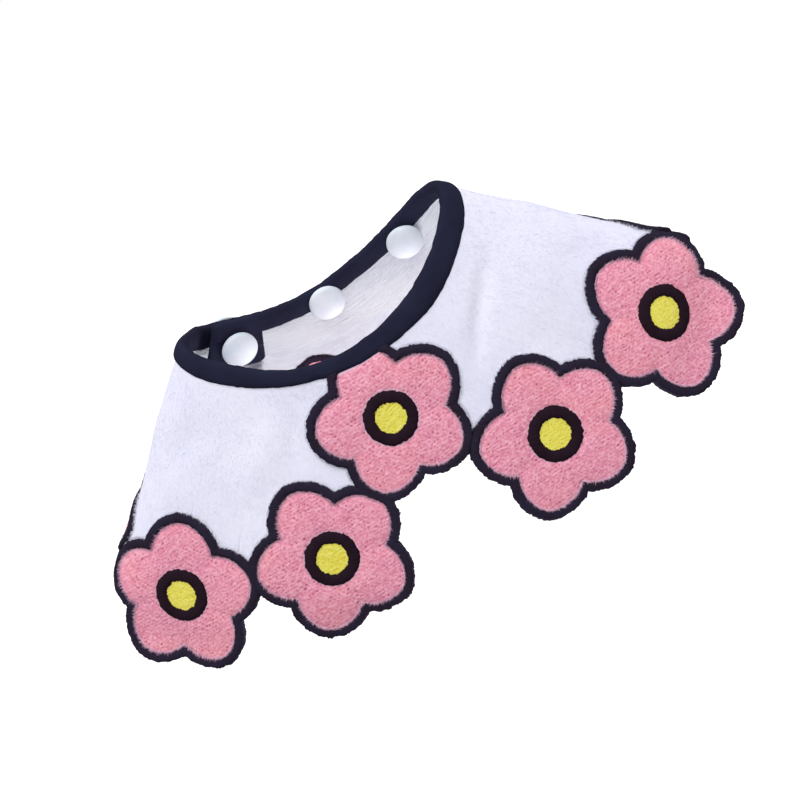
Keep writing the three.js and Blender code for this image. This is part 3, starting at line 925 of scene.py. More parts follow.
@dataclass
class PlushBody:
    """The white ring: one closed shell of cloth with a soft outer and inner face."""

    cloth: Cloth
    cut: Cut
    finishes: Finishes
    half: float = 0.8
    columns: int = 560
    rows: int = 64
    nap: float = 0.04
    pucker: float = 0.3
    pucker_pitch: float = 1.15
    seed: int = 21

    def stations(self) -> Array:
        """Angles along the cut, closer together at the two ends' edges."""
        even = np.linspace(self.cut.outer_tip, self.cut.inner_end, self.columns)
        edge = np.array([0.05, 0.12, 0.22])
        return np.sort(np.concatenate([even, even[0] + edge, even[-1] - edge]))

    def puckers(self, r: Array, s: Array) -> Array:
        """Small gathers below the tape at the front left: a wave that fades downwards."""
        below = r - self.cloth.cone.neck(s)
        along = np.radians(s) * r / self.pucker_pitch
        window = smooth_step(-29, -24, s) * (1 - smooth_step(-15, -9, s))
        fade = np.exp(-(((below - 5.0) / 3.4) ** 2))
        return self.pucker * np.sin(2 * math.pi * along) * window * fade

    def surface(self) -> tuple[Array, Array, Array]:
        """The grid of r, s and half thickness.

        Rows run evenly from the upper edge to the hem.  The thickness follows a
        quarter circle from each bare edge inwards, so the edges are round.
        """
        s = self.stations()
        top, hem = self.cut.top(s), self.cut.hem(s)
        t = np.linspace(0.0, 1.0, self.rows)[:, None]
        r = top + (hem - top) * t
        s = np.broadcast_to(s, r.shape)
        to_end = np.minimum(self.cut.inner_end - s, s - self.cut.outer_tip) * degree_of_arc(r)
        sloped = np.where(s < self.cut.outer_end, r - self.cut.top(s), np.inf)
        return r, s, self.half * round_over(np.minimum(to_end, sloped) / self.half, 0.01)

    def build(self, workshop: Workshop) -> bpy.types.Object:
        """Makes the body as one piece with an outer and an inner finish."""
        r, s, half = self.surface()
        noise = SoftNoise(self.seed)
        x, y = flat_place(r, s)
        nap = self.nap * (noise.at(x / 1.9, y / 2.6) + 0.6 * noise.at(x / 5.3, y / 7.7))
        sunk = -0.35 * self.cut.inside_flowers(r, s, 0.6)
        outer = self.cloth.place(r, s, half + nap + sunk + self.puckers(r, s))
        inner = self.cloth.place(r, s, -half + 0.6 * nap - sunk)
        points = np.stack([outer, inner])
        front, back, walls = two_sided_faces(*r.shape)
        faces = np.vstack([front, back, walls])
        kind = np.concatenate([
            np.zeros(len(front)), np.ones(len(back)), np.zeros(len(walls))])
        place = np.stack([np.radians(s) * r, r, half], axis=-1)
        cut_at = np.stack([place, place * (1, 1, -1)]).reshape(-1, 3)
        shape = Shape(points.reshape(-1, 3), [faces], {"cut": cut_at}, kind).turned_out()
        materials = [self.finishes.outer, self.finishes.inner]
        return workshop.piece("plush_body", shape, materials, ("body_cloth",))


@dataclass
class Pile:
    """Loose fibres: one thin triangle each, rooted in the cloth."""

    cloth: Cloth
    cut: Cut
    finishes: Finishes
    foot: float = 0.78
    ring_low: float = 50.0
    ring_high: float = 150.0
    seed: int = 33

    def __post_init__(self) -> None:
        """Starts the seeded draws."""
        self.random = np.random.default_rng(self.seed)

    def fibres(self, root: tuple[Array, Array, Array], tip: tuple[Array, Array, Array],
               width: float) -> Shape:
        """Triangles from roots to tips, both given as r, s and w.

        Each triangle's foot is width wide, square to its lean on the cut.

        Args:
            root: r, s and w of the middle of each foot.
            tip: r, s and w of each tip.
            width: the foot's width.

        Returns:
            The open shape of all fibres.
        """
        r, s, w = root
        arc = degree_of_arc(r)
        down, along = tip[0] - r, (tip[1] - s) * arc
        length = np.maximum(np.hypot(down, along), 1e-6)
        half = width / 2 * self.random.uniform(0.6, 1.4, len(r))
        dr, ds = -along / length * half, down / length * half / arc
        left = self.cloth.place(r + dr, s + ds, w)
        right = self.cloth.place(r - dr, s - ds, w)
        points = np.stack([left, right, self.cloth.place(*tip)], axis=1).reshape(-1, 3)
        place = np.stack([arc * s, r, w], axis=-1).repeat(3, axis=0)
        faces = np.arange(3 * len(r)).reshape(-1, 3)
        return Shape(points, [faces], {"cut": place})

    def draws(self, count: int) -> tuple[Array, Array]:
        """Random places spread evenly over the cut's bounding ring."""
        s = self.random.uniform(self.cut.outer_tip, self.cut.inner_end, count)
        r = np.sqrt(self.random.uniform(self.ring_low**2, self.ring_high**2, count))
        return r, s

    def on_white(self, r: Array, s: Array) -> Array:
        """Whether a place is bare white cloth, clear of the tape, flowers and ends."""
        neck = self.cloth.cone.neck(s)
        ends = np.minimum(self.cut.inner_end - s, s - self.cut.outer_tip) * degree_of_arc(r)
        row = self.cut.row_radius(s)
        ok = (r > neck + 3.6) & (r < row + 1.0) & (ends > 0.4)
        ok &= r > self.cut.top(s) + 0.5
        return ok & ~self.cut.inside_flowers(r, s, -0.2)

    def lying(self, count: int, lengths: tuple[float, float], spread: float,
              rises: tuple[float, float], face: int, width: float) -> Shape:
        """Fibres that lie on one face of the bare white cloth.

        Args:
            count: how many are drawn before those off the white are left out.
            lengths: the shortest and the longest.
            spread: how far their directions stray, in radians.
            rises: how far a tip stands above its root, at least and at most.
            face: 1 outside, combed towards the hem; -1 inside, combed along the neck.
            width: the foot's width.

        Returns:
            The open shape of all fibres.
        """
        r, s = self.draws(count)
        keep = self.on_white(r, s)
        r, s = r[keep], s[keep]
        length = self.random.uniform(*lengths, len(r))
        lean = self.random.normal(0.0, spread, len(r))
        rise = self.random.uniform(*rises, len(r))
        ahead, aside = length * np.cos(lean), length * np.sin(lean)
        down, along = (ahead, aside) if face > 0 else (aside, ahead)
        root_w = np.full(len(r), face * self.foot)
        tip = (r + down, s + along / degree_of_arc(r), root_w + face * rise)
        return self.fibres((r, s, root_w), tip, width)

    def beside_outlines(self, count: int = 26000) -> Shape:
        """Fuzz that stands against the outlines and leans a little over them."""
        pick = self.random.integers(0, len(self.cut.flowers), count)
        angle = self.random.uniform(0.0, 360.0, count)
        start = self.random.uniform(0.0, 0.9, count)
        over = self.random.uniform(0.0, 0.5, count)
        climb = self.random.uniform(0.5, 1.25, count)
        turn = self.random.normal(0.0, 2.4, count)
        roots, tips = [], []
        for k, flower in enumerate(self.cut.flowers):
            mine = pick == k
            edge = self.cut.outline_reach(flower, angle[mine])
            for shift, reach, out in (
                (0.0, edge + start[mine], roots), (turn[mine], edge - over[mine], tips),
            ):
                out.append(np.stack(self.cut.around(flower, reach, angle[mine] + shift)))
        order = np.concatenate([np.flatnonzero(pick == k) for k in range(len(self.cut.flowers))])
        root, tip = np.concatenate(roots, axis=1), np.concatenate(tips, axis=1)
        climb = climb[order]
        keep = self.on_white(root[0], root[1])
        root, tip, climb = root[:, keep], tip[:, keep], climb[keep]
        root_w = np.full(len(climb), 0.8)
        return self.fibres((root[0], root[1], root_w), (tip[0], tip[1], root_w + climb), 0.13)

    def on_petals(self, tape_below: Callable[[float], float], each: int = 1500) -> Shape:
        """Worn thread ends that lean from the petals' edges over their outlines."""
        roots, tips = [], []
        for flower in self.cut.flowers:
            angle = self.random.uniform(0.0, 360.0, each)
            edge = self.cut.petal_reach(flower, angle)
            free = edge + 1.0 < self.cut.until_tape(flower, angle, tape_below(flower.s))
            angle, edge = angle[free], edge[free]
            inside = self.random.uniform(0.3, 0.8, len(edge))
            over = self.random.uniform(-0.1, 0.45, len(edge))
            turn = self.random.normal(0.0, 1.6, len(edge))
            low = np.full(len(edge), 1.5)
            high = self.random.uniform(2.1, 2.6, len(edge))
            for way, reach, w, out in (
                (angle, edge - inside, low, roots), (angle + turn, edge + over, high, tips),
            ):
                out.append(np.stack([*self.cut.around(flower, reach, way), w]))
        root, tip = np.concatenate(roots, axis=1), np.concatenate(tips, axis=1)
        return self.fibres(tuple(root), tuple(tip), 0.16)

    def build(self, workshop: Workshop, tape_below: Callable[[float], float]) -> None:
        """Makes the fibres of both faces and of the outlines' and petals' edges.

        Args:
            workshop: where the pieces are made.
            tape_below: how far the tape reaches below the neck line at s.
        """
        for name, shape, finish, slot in (
            ("pile_outer", self.lying(110000, (0.7, 1.5), 0.55, (0.12, 0.42), 1, 0.12),
             self.finishes.pile, Slot.PLUSH),
            ("pile_inner", self.lying(100000, (1.4, 3.0), 0.22, (0.12, 0.5), -1, 0.13),
             self.finishes.nap, Slot.PLUSH),
            ("pile_edge", self.beside_outlines(), self.finishes.pile, Slot.PLUSH),
            ("pile_petals", self.on_petals(tape_below), self.finishes.fuzz, Slot.PETALS),
        ):
            workshop.piece(name, shape, [finish])


# ---------------------------------------------------------------- the flowers


@dataclass
class Stitches:
    """Rows of small knotted stitches along the flat cut's x."""

    row: float = 0.98
    stitch: float = 1.35
    slant: float = 0.8
    rise: float = 0.17
    seed: int = 71

    def __post_init__(self) -> None:
        """Draws the wobble, the grain and each stitch's own strength."""
        self.wobble = SoftNoise(self.seed)
        self.grain = SoftNoise(self.seed + 1)
        self.strength = np.random.default_rng(self.seed + 2).uniform(0.0, 1.0, (256, 256))

    def at(self, x: Array, y: Array) -> tuple[Array, Array]:
        """Relief, and fleck with painted shading, at flat places.

        Rows are arches of the sine of the distance across them.  Along a row, slanted
        knots swell by the sine of the distance along it, shifted by half a stitch
        from row to row.  A hole lies at each corner between stitches, a bell curve as
        strong as that stitch's own random number, and the fleck paints shade into it;
        each knot's crest gets a little painted light.

        Args:
            x: the flat cut's x.
            y: the flat cut's y.

        Returns:
            The relief in millimetres, and the fleck with painted shading: near 0 in a hole, where shade is
            painted, and 1 on a knot, where a little light is painted on its crest.
        """
        v = (y + 0.6 * self.wobble.at(x / 3.1, y / 3.1)) / self.row
        row = np.floor(v)
        across = v - row - 0.5
        shift = self.strength[np.mod(row, 256).astype(int), 7] * 0.5 + 0.5 * np.mod(row, 2)
        u = (x + self.slant * across * self.row) / self.stitch + shift
        u = u + 0.45 * self.wobble.at(x / 1.7 + 40.0, y / 1.7)
        stitch = np.floor(u)
        along = u - stitch - 0.5
        own = self.strength[np.mod(row, 256).astype(int), np.mod(stitch, 256).astype(int)]
        arch = np.cos(math.pi * across) ** 0.6
        knot = np.cos(math.pi * along) ** 0.7
        hole_at = ((0.5 - np.abs(along)) / 0.22) ** 2 + ((0.5 - np.abs(across)) / 0.26) ** 2
        hole = np.exp(-hole_at) * own**1.2
        grain = self.grain.at(x / 0.6 + 0.25 * y, y / 0.36)
        relief = self.rise * (arch * (0.35 + 0.5 * knot) - 1.1 * hole + 0.6 * grain)
        # the fleck paints shade into each hole and a little light on each knot's crest; own and grain add
        # random tone
        fleck_and_painted_shading = 0.5 + 0.12 * arch * knot + 0.16 * (own - 0.5) - 0.95 * hole + 0.34 * grain
        return relief, fleck_and_painted_shading


@dataclass
class Embroidery:
    """One flower: petals, outline, ring and centre, each stitched through the cloth."""

    flower: Flower
    cloth: Cloth
    cut: Cut
    finishes: Finishes
    stitches: Stitches
    tape_below: float
    step: float = 0.33
    face: float = 1.35
    back: float = -1.12
    puff: float = 0.5
    ring_in: float = 4.5
    ring_out: float = 8.35
    crest: float = 2.25
    reverse: float = -1.45
    section: int = 14
    ring_stations: int = 180

    def heights(self, x: Array, y: Array) -> tuple[Array, Array, Array]:
        """The petals' outer face height, fleck with painted shading, and nearness to an edge at flat places.

        The pad rises from the outline and from the ring by a soft exponential, with a
        shallow hollow from each notch to the ring, and the stitches stand on it.
        """
        dx, dy = x - self.flower.centre[0], y - self.flower.centre[1]
        away, angle = np.hypot(dx, dy), np.degrees(np.arctan2(dy, dx))
        reach = self.cut.petal_reach(self.flower, angle)
        reach = np.minimum(reach, self.cut.until_tape(self.flower, angle, self.tape_below))
        edge = np.maximum(reach - away, 0.0)
        from_ring = np.maximum(away - self.ring_out, 0.0)
        swell = (1 - np.exp(-edge / 1.6)) * (1 - np.exp(-from_ring / 1.8))
        off_notch = self.cut.off_petal(self.flower, angle) - self.cut.half_pitch
        hollow = np.exp(-((off_notch / 9.0) ** 2)) * smooth_step(6.0, 15.0, away)
        under = smooth_step(0.0, 0.9, away - reach)
        relief, fleck_and_painted_shading = self.stitches.at(x, y)
        height = self.face + self.puff * swell - 0.28 * hollow - 0.75 * under
        rim = np.maximum(np.exp(-edge / 0.4), 0.8 * np.exp(-from_ring / 0.4))
        return height + relief * (1 - under), fleck_and_painted_shading, rim * (away > self.ring_out - 1.5)

    def patch(self, inside: Callable[[Array, Array], Array], reach: float) -> Shape:
        """A closed pad on a square grid: a fine outer face and a coarser reverse.

        The flat square round the flower is split into blocks of two by two cells.
        A block counts where its middle is inside.  The outer face has each cell as a
        quad, the reverse has each block, and a five-sided wall joins them at each
        block edge with nothing beyond.

        Args:
            inside: whether distances and angles from the centre belong to the pad.
            reach: half the square's side.

        Returns:
            The shape with its place on the cut and its fleck with painted shading.
        """
        step, (cx, cy) = self.step, self.flower.centre
        blocks = 2 * int(math.ceil(reach / (2 * step)))
        half = blocks * step
        middle = (np.arange(blocks) * 2 + 1) * step - half
        mx, my = np.meshgrid(middle, middle, indexing="ij")
        on = inside(np.hypot(mx, my), np.degrees(np.arctan2(my, mx)))
        fine = 2 * blocks + 1
        line = np.arange(fine) * step - half
        x, y = np.meshgrid(line + cx, line + cy, indexing="ij")
        number = np.arange(fine * fine).reshape(fine, fine)
        i, j = np.nonzero(on)
        a, b = 2 * i, 2 * j
        cells = [
            np.stack([number[a + p, b + q], number[a + p + 1, b + q],
                      number[a + p + 1, b + q + 1], number[a + p, b + q + 1]], axis=-1)
            for p in (0, 1) for q in (0, 1)
        ]
        far = fine * fine
        back = far + np.stack([
            number[a, b], number[a, b + 2], number[a + 2, b + 2], number[a + 2, b]], axis=-1)
        padded = np.pad(on, 1)
        walls = []
        sides = (
            ((0, -1), (0, 0), (1, 0), (2, 0)), ((1, 0), (2, 0), (2, 1), (2, 2)),
            ((0, 1), (2, 2), (1, 2), (0, 2)), ((-1, 0), (0, 2), (0, 1), (0, 0)),
        )
        for (di, dj), first, mid, last in sides:
            open_side = ~padded[i + 1 + di, j + 1 + dj]
            p, q = a[open_side], b[open_side]
            f, m, e = (number[p + u, q + v] for u, v in (first, mid, last))
            walls.append(np.stack([e, m, f, f + far, e + far], axis=-1))
        quads, fives = np.vstack([*cells, back]), np.vstack(walls)
        used = np.unique(np.concatenate([quads.ravel(), fives.ravel()]))
        renumber = np.full(2 * far, -1)
        renumber[used] = np.arange(len(used))
        top = used[used < far]
        low = used[used >= far] - far
        x_all, y_all = x.ravel(), y.ravel()
        height, fleck_and_painted_shading, rim = self.heights(x_all[top], y_all[top])
        _, low_fleck_and_painted_shading = self.stitches.at(x_all[low], y_all[low])
        xs = np.concatenate([x_all[top], x_all[low]])
        ys = np.concatenate([y_all[top], y_all[low]])
        w = np.concatenate([height, self.back - 0.12 * low_fleck_and_painted_shading])
        r, s = cut_place(xs, ys)
        values = {
            "cut": np.stack([xs, ys, w], axis=-1),
            # the fleck is random tone with painted shade in the stitch holes and a little painted light on
            # the crests
            "fleck_and_painted_shading": np.concatenate([fleck_and_painted_shading, low_fleck_and_painted_shading]),
            "rim": np.concatenate([rim, 0.0 * low_fleck_and_painted_shading]),
        }
        groups = [renumber[quads], renumber[fives]]
        return Shape(self.cloth.place(r, s, w), groups, values).turned_out()

    def petals(self) -> Shape:
        """The pink pad, from under the ring to under the outline."""
        def inside(away: Array, angle: Array) -> Array:
            limit = self.cut.petal_reach(self.flower, angle) + 0.9
            limit = np.minimum(limit, self.cut.until_tape(
                self.flower, angle, self.tape_below - 1.5))
            return (away > self.ring_in + 1.2) & (away < limit)
        return self.patch(inside, self.cut.petal_tip * self.flower.size + 2.0)

    def centre(self) -> Shape:
        """The yellow middle, domed, with its edge under the ring."""
        def inside(away: Array, angle: Array) -> Array:
            return away < self.ring_in + 0.8 + 0.0 * angle
        return self.patch(inside, self.ring_in + 2.0)

    def band(self, angle: Array, inner: Array, outer: Array, jag: float, closed: bool,
             seed: int) -> Shape:
        """A raised band of dense stitches between two reaches from the centre.

        Its section is a rounded box through the cloth, and its two edges step in and
        out from stitch to stitch.

        Args:
            angle: directions from the centre, one a station.
            inner: the reach of its inner edge at each.
            outer: the reach of its outer edge.
            jag: how far a stitch may stand out.
            closed: whether the band runs all round.
            seed: where its random stitches start.

        Returns:
            The closed tube.
        """
        noise = SoftNoise(seed)
        reach = (inner + outer) / 2
        step = np.radians(np.gradient(angle)) * reach
        arc = np.cumsum(np.hypot(step, np.gradient(reach)))
        stitch = np.floor(arc / 0.5)
        jag_in = jag * (0.7 * noise.at(arc / 0.42, 3.5) + 0.6 * noise.at(arc / 1.5, 9.5))
        jag_out = jag * (0.7 * noise.at(arc / 0.42, 6.5) + 0.6 * noise.at(arc / 1.3, 12.5))
        across, up = superellipse(self.section, 0.75, 0.62)
        half = (outer - inner) / 2 + (jag_out - jag_in) / 2
        middle = reach + (jag_out + jag_in) / 2
        away = middle[:, None] + half[:, None] * across
        high, low = (self.crest - self.reverse) / 2, (self.crest + self.reverse) / 2
        w = low + high * up + 0.07 * noise.at(stitch * 0.67, 20.5)[:, None] * (up > 0)
        r, s = self.cut.around(self.flower, away, angle[:, None])
        values = {"cut": np.stack(np.broadcast_arrays(across * 1.4, arc[:, None], w), axis=-1)}
        return tube(self.cloth.place(r, s, w), values, closed)

    def outline(self) -> Shape:
        """The dark band round the petals, open where the tape covers it."""
        turn = self.flower.petal + np.linspace(0.0, 360.0, 2881)
        inner = self.cut.petal_reach(self.flower, turn)
        outer = self.cut.outline_reach(self.flower, turn, -0.55)
        tape = self.cut.until_tape(self.flower, turn, self.tape_below - 1.2)
        free = inner + 0.8 < tape
        closed = bool(free.all())
        if not closed:
            first = int(np.flatnonzero(~free)[0])
            order = np.roll(np.arange(2880), -first)
            kept = order[free[order]]
            jump = int(np.flatnonzero(np.diff(kept) < 0)[0]) if (np.diff(kept) < 0).any() else -1
            turn = turn[kept] + np.where(np.arange(len(kept)) > jump, 360.0, 0.0) * (jump >= 0)
            inner, outer = inner[kept], np.minimum(outer[kept], tape[kept])
        reach = (inner + outer) / 2
        arc = np.concatenate([[0.0], np.cumsum(np.hypot(
            np.diff(np.radians(turn)) * reach[1:], np.diff(reach)))])
        count = int(arc[-1] / 0.27)
        even = np.linspace(0.0, arc[-1], count + 1)
        even = even[:-1] if closed else even
        angle = np.interp(even, arc, turn)
        return self.band(angle, np.interp(even, arc, inner) - 0.1,
                         np.interp(even, arc, outer), 0.46, closed,
                         101 + int(self.flower.name))

    def ring(self) -> Shape:
        """The dark ring round the centre."""
        angle = np.linspace(0.0, 360.0, self.ring_stations, endpoint=False)
        size = self.flower.size
        return self.band(angle, np.full(len(angle), self.ring_in * size),
                         np.full(len(angle), self.ring_out * size), 0.4, True,
                         301 + int(self.flower.name))

    def build(self, workshop: Workshop) -> list[bpy.types.Object]:
        """Makes the flower's four pieces."""
        node = f"flower_{self.flower.name}"
        made = []
        for part, shape, finish, slot in (
            ("petals", self.petals(), self.finishes.pink, Slot.PETALS),
            ("outline", self.outline(), self.finishes.outline, Slot.OUTLINE),
            ("ring", self.ring(), self.finishes.ring, Slot.OUTLINE),
            ("centre", self.centre(), self.finishes.yellow, Slot.CENTRE),
        ):
            name = f"stitched_{part}_{self.flower.name}"
            made.append(workshop.piece(name, shape, [finish], (f"{node}_{part}",)))
        return made


# ---------------------------------------------------------------- the neck tape


@dataclass(frozen=True)
class TapeWidth:
    """How far the tape reaches above and below the neck line at s."""

    s: float
    above: float
    below: float


TAPE_WIDTHS = (
    TapeWidth(-86.0, 3.4, 3.6), TapeWidth(-74.0, 3.2, 4.6), TapeWidth(-66.0, 2.0, 6.2),
    TapeWidth(-58.0, 1.2, 5.6), TapeWidth(-51.0, 2.6, 3.2), TapeWidth(-36.0, 4.0, 2.4),
    TapeWidth(-17.0, 2.2, 2.4), TapeWidth(0.0, 2.5, 3.2), TapeWidth(20.0, 3.8, 4.3),
    TapeWidth(38.0, 4.3, 3.4), TapeWidth(56.0, 3.1, 3.4), TapeWidth(80.0, 3.9, 2.8),
    TapeWidth(98.0, 4.1, 2.0), TapeWidth(115.0, 2.9, 3.8), TapeWidth(150.0, 1.7, 4.3),
)


@dataclass
class NeckTape:
    """The navy tape folded over the neck edge, soft and a little uneven."""

    cloth: Cloth
    cut: Cut
    finishes: Finishes
    half: float = 2.0
    start: float = -86.0
    end: float = 150.0
    stations: int = 520
    section: int = 26
    round_end: float = 1.6
    seed: int = 57

    def width_at(self, s: Array) -> tuple[Array, Array]:
        """The reach above and below the neck line, as a smoothed line of the table."""
        dense = np.linspace(self.start - 8, self.end + 8, 1200)
        table = np.array([(row.s, row.above, row.below) for row in TAPE_WIDTHS])
        bell = np.exp(-np.linspace(-2.0, 2.0, 31) ** 2)
        bell /= bell.sum()
        smooth = [
            np.convolve(np.pad(np.interp(dense, table[:, 0], table[:, k]), 15, "edge"), bell, "valid")
            for k in (1, 2)
        ]
        return np.interp(s, dense, smooth[0]), np.interp(s, dense, smooth[1])

    def build(self, workshop: Workshop) -> bpy.types.Object:
        """Makes the tape: a rounded flat section carried along the neck line.

        The section is a flat oval, a little fuller outside.  Its two edges wander,
        its faces swell and sink slowly, and each end closes over a quarter circle.
        """
        s = np.linspace(self.start, self.end, self.stations)
        neck = self.cloth.cone.neck(s)
        arc = np.radians(s) * 60.0
        noise = SoftNoise(self.seed)
        above, below = self.width_at(s)
        above = above + 0.22 * noise.at(arc / 3.1, 2.5) + 0.12 * noise.at(arc / 1.3, 4.5)
        below = below + 0.22 * noise.at(arc / 3.4, 6.5) + 0.14 * noise.at(arc / 1.2, 8.5)
        to_end = np.minimum(s - self.start, self.end - s) * np.radians(neck)
        close = round_over(to_end / self.round_end, 0.02)
        across, up = superellipse(self.section, 0.7, 0.72)
        middle, reach = (below - above) / 2, (above + below) / 2
        r = (neck + middle)[:, None] + (reach * (0.75 + 0.25 * close))[:, None] * across
        full = self.half + 0.22 * noise.at(arc / 9.0, 12.5)[:, None] * np.abs(across)
        ripple = 0.09 * noise.at(arc[:, None] / 1.7, 30.5 + 2.0 * across)
        w = close[:, None] * (full * up + ripple * np.sign(up))
        at = np.broadcast_to(s[:, None], r.shape)
        values = {"cut": np.stack([
            np.broadcast_to(arc[:, None], r.shape), r - neck[:, None] + 5.0 * up, w], axis=-1)}
        shape = tube(self.cloth.place(r, at, w), values, closed=False)
        return workshop.piece("soft_tape", shape, [self.finishes.tape], ("neck_tape",))


@dataclass
class EndTab:
    """The under end's navy tab, a flat pad with two round lower corners."""

    cloth: Cloth
    finishes: Finishes
    start: float = 133.0
    end: float = 150.2
    radius: float = 69.4
    corner: float = 3.2
    half: float = 1.15
    columns: int = 56
    rows: int = 44
    seed: int = 77

    def build(self, workshop: Workshop) -> bpy.types.Object:
        """Makes the tab as a closed pillow-edged pad.

        The lower edge is a quarter circle at each corner.  The half thickness is a
        quarter circle of the distance to the nearest edge.
        """
        noise = SoftNoise(self.seed)
        t = 0.5 - 0.5 * np.cos(np.linspace(0.0, math.pi, self.columns))
        s = self.start + (self.end - self.start) * t
        side = np.minimum(s - self.start, self.end - s) * math.radians(self.radius)
        in_corner = np.maximum(self.corner - side, 0.0)
        drop = self.corner - np.sqrt(self.corner**2 - in_corner**2)
        top = self.cloth.cone.neck(s) - 1.5
        v = np.sin(np.linspace(0.0, math.pi / 2, self.rows))[:, None]
        low = self.radius - drop + 0.2 * noise.at(s / 2.2, 1.5)
        r = top + (low - top) * v
        at = np.broadcast_to(s, r.shape)
        to_side = np.minimum(at - self.start, self.end - at) * degree_of_arc(r)
        half = self.half * round_over(np.minimum(to_side, low - r) / (1.1 * self.half), 0.004)
        sway = 0.12 * noise.at(at / 3.0, r / 3.0)
        faces = [self.cloth.place(r, at, sway + half), self.cloth.place(r, at, sway - half)]
        place = np.stack([np.radians(at) * r, r, half], axis=-1)
        values = {"cut": np.stack([place, place]).reshape(-1, 3)}
        shape = Shape(np.stack(faces).reshape(-1, 3), [np.vstack(two_sided_faces(*r.shape))], values)
        return workshop.piece(
            "soft_tab", shape.turned_out(), [self.finishes.tape], ("end_tab",))


# ---------------------------------------------------------------- the snaps


@dataclass(frozen=True)
class SnapPlace:
    """One snap's name, its angle on the cut and how far below the neck line it sits."""

    name: str
    s: float
    below: float


SNAPS = (
    SnapPlace("1", 141.5, 7.2),
    SnapPlace("2", 110.4, 2.5),
    SnapPlace("3", 77.6, 3.4),
)


@dataclass
class Snaps:
    """The moulded caps, sockets and stud."""

    cloth: Cloth
    finishes: Finishes
    cap_radius: float = 5.9
    cap_height: float = 3.0
    cap_rim: float = 0.7
    socket_radius: float = 4.4
    socket_height: float = 1.4
    socket_hole: float = 2.5
    stud_plate: float = 0.6
    stud_radius: float = 2.2
    stud_height: float = 1.5
    seat: float = 2.1
    segments: int = 56

    def cap_profile(self) -> Array:
        """A domed cap: flat behind, a small round rim, then a quarter oval."""
        t = np.linspace(0.0, math.pi / 2, 18)
        dome_r = self.cap_radius * np.cos(t)
        dome_z = self.cap_rim + (self.cap_height - self.cap_rim) * np.sin(t)
        a = np.linspace(-math.pi / 2, 0.0, 5)
        rim_r = self.cap_radius - 0.35 + 0.35 * np.cos(a)
        rim_z = 0.35 + 0.35 * np.sin(a)
        flat_r, flat_z = np.linspace(0.0, self.cap_radius - 0.5, 5), np.zeros(5)
        r = np.concatenate([flat_r, rim_r, dome_r])
        z = np.concatenate([flat_z, rim_z, dome_z])
        r[0] = r[-1] = 0.0
        return np.stack([r, z], axis=-1)

    def rounded(self, corners: list[tuple[float, float]], radius: float) -> Array:
        """A profile through corners, with each inner one replaced by a short curve."""
        points = [corners[0]]
        for before, here, after in zip(corners, corners[1:], corners[2:]):
            b, h, a = (np.array(p, dtype=float) for p in (before, here, after))
            into, out = h - b, a - h
            cut = min(radius, np.linalg.norm(into) * 0.45, np.linalg.norm(out) * 0.45)
            first = h - into / np.linalg.norm(into) * cut
            last = h + out / np.linalg.norm(out) * cut
            for t in (0.0, 0.33, 0.67, 1.0):
                points.append(tuple((1 - t) ** 2 * first + 2 * t * (1 - t) * h + t * t * last))
        points.append(corners[-1])
        return np.array(points)

    def socket_profile(self) -> Array:
        """A ring with a lip round the recess that takes the stud."""
        rim, top, hole = self.socket_radius, self.socket_height, self.socket_hole
        corners = [(0, 0), (rim, 0), (rim, top - 0.5), (rim - 1.0, top - 0.35),
                   (hole + 0.8, top - 0.35), (hole + 0.5, top), (hole, top),
                   (hole - 0.15, 0.5), (0, 0.5)]
        return self.rounded(corners, 0.18)

    def stud_profile(self) -> Array:
        """A plate with a nib that is a little fuller at its end."""
        rim, plate, nib, end = (
            self.socket_radius, self.stud_plate, self.stud_radius, self.stud_height)
        corners = [(0, 0), (rim, 0), (rim, plate), (nib + 0.4, plate), (nib - 0.2, plate + 0.2),
                   (nib, end - 0.2), (nib - 0.4, end), (0, end)]
        return self.rounded(corners, 0.16)

    def seated(self, profile: Array, r: float, s: float, w: float, outwards: bool) -> Shape:
        """A turned piece on the cloth, with its axis along the normal.

        Args:
            profile: its radius and height from the axis's foot.
            r: its place on the cut.
            s: its angle on the cut.
            w: the height of its foot.
            outwards: whether its axis leaves the cloth outwards or inwards.

        Returns:
            The shape in metres.
        """
        shape = lathe(profile, self.segments)
        normal = self.cloth.cone.blended(self.cloth.cone.normal, np.float64(s))
        axis = Vector(normal if outwards else -normal)
        turn = np.array(axis.to_track_quat("Z", "Y").to_matrix())
        shape.points = shape.points @ turn.T * MM + self.cloth.place(r, s, w)
        return shape.turned_out()

    def build(self, workshop: Workshop) -> None:
        """Makes three inner caps, three sockets, and the over end's stud and cap."""
        cone = self.cloth.cone
        for snap in SNAPS:
            r = float(cone.neck(np.float64(snap.s))) + snap.below
            for part, profile, w, out in (
                ("cap", self.cap_profile(), -self.seat, False),
                ("socket", self.socket_profile(), self.seat, True),
            ):
                shape = self.seated(profile, r, snap.s, w, out)
                workshop.piece(f"moulded_{part}_{snap.name}", shape, [self.finishes.snap],
                               (f"snap_{part}_{snap.name}",))
        closed = SNAPS[0]
        r = float(cone.neck(np.float64(closed.s))) + closed.below
        s = closed.s - cone.full_turn
        stud = self.seated(self.stud_profile(), r, s, -self.seat, False)
        cap = self.seated(self.cap_profile(), r, s, self.seat, True)
        finish = [self.finishes.snap]
        workshop.piece("moulded_stud", stud, finish, ("snap_stud",))
        workshop.piece("moulded_cap_outer", cap, finish, ("snap_cap_outer",))


# ---------------------------------------------------------------- the studio


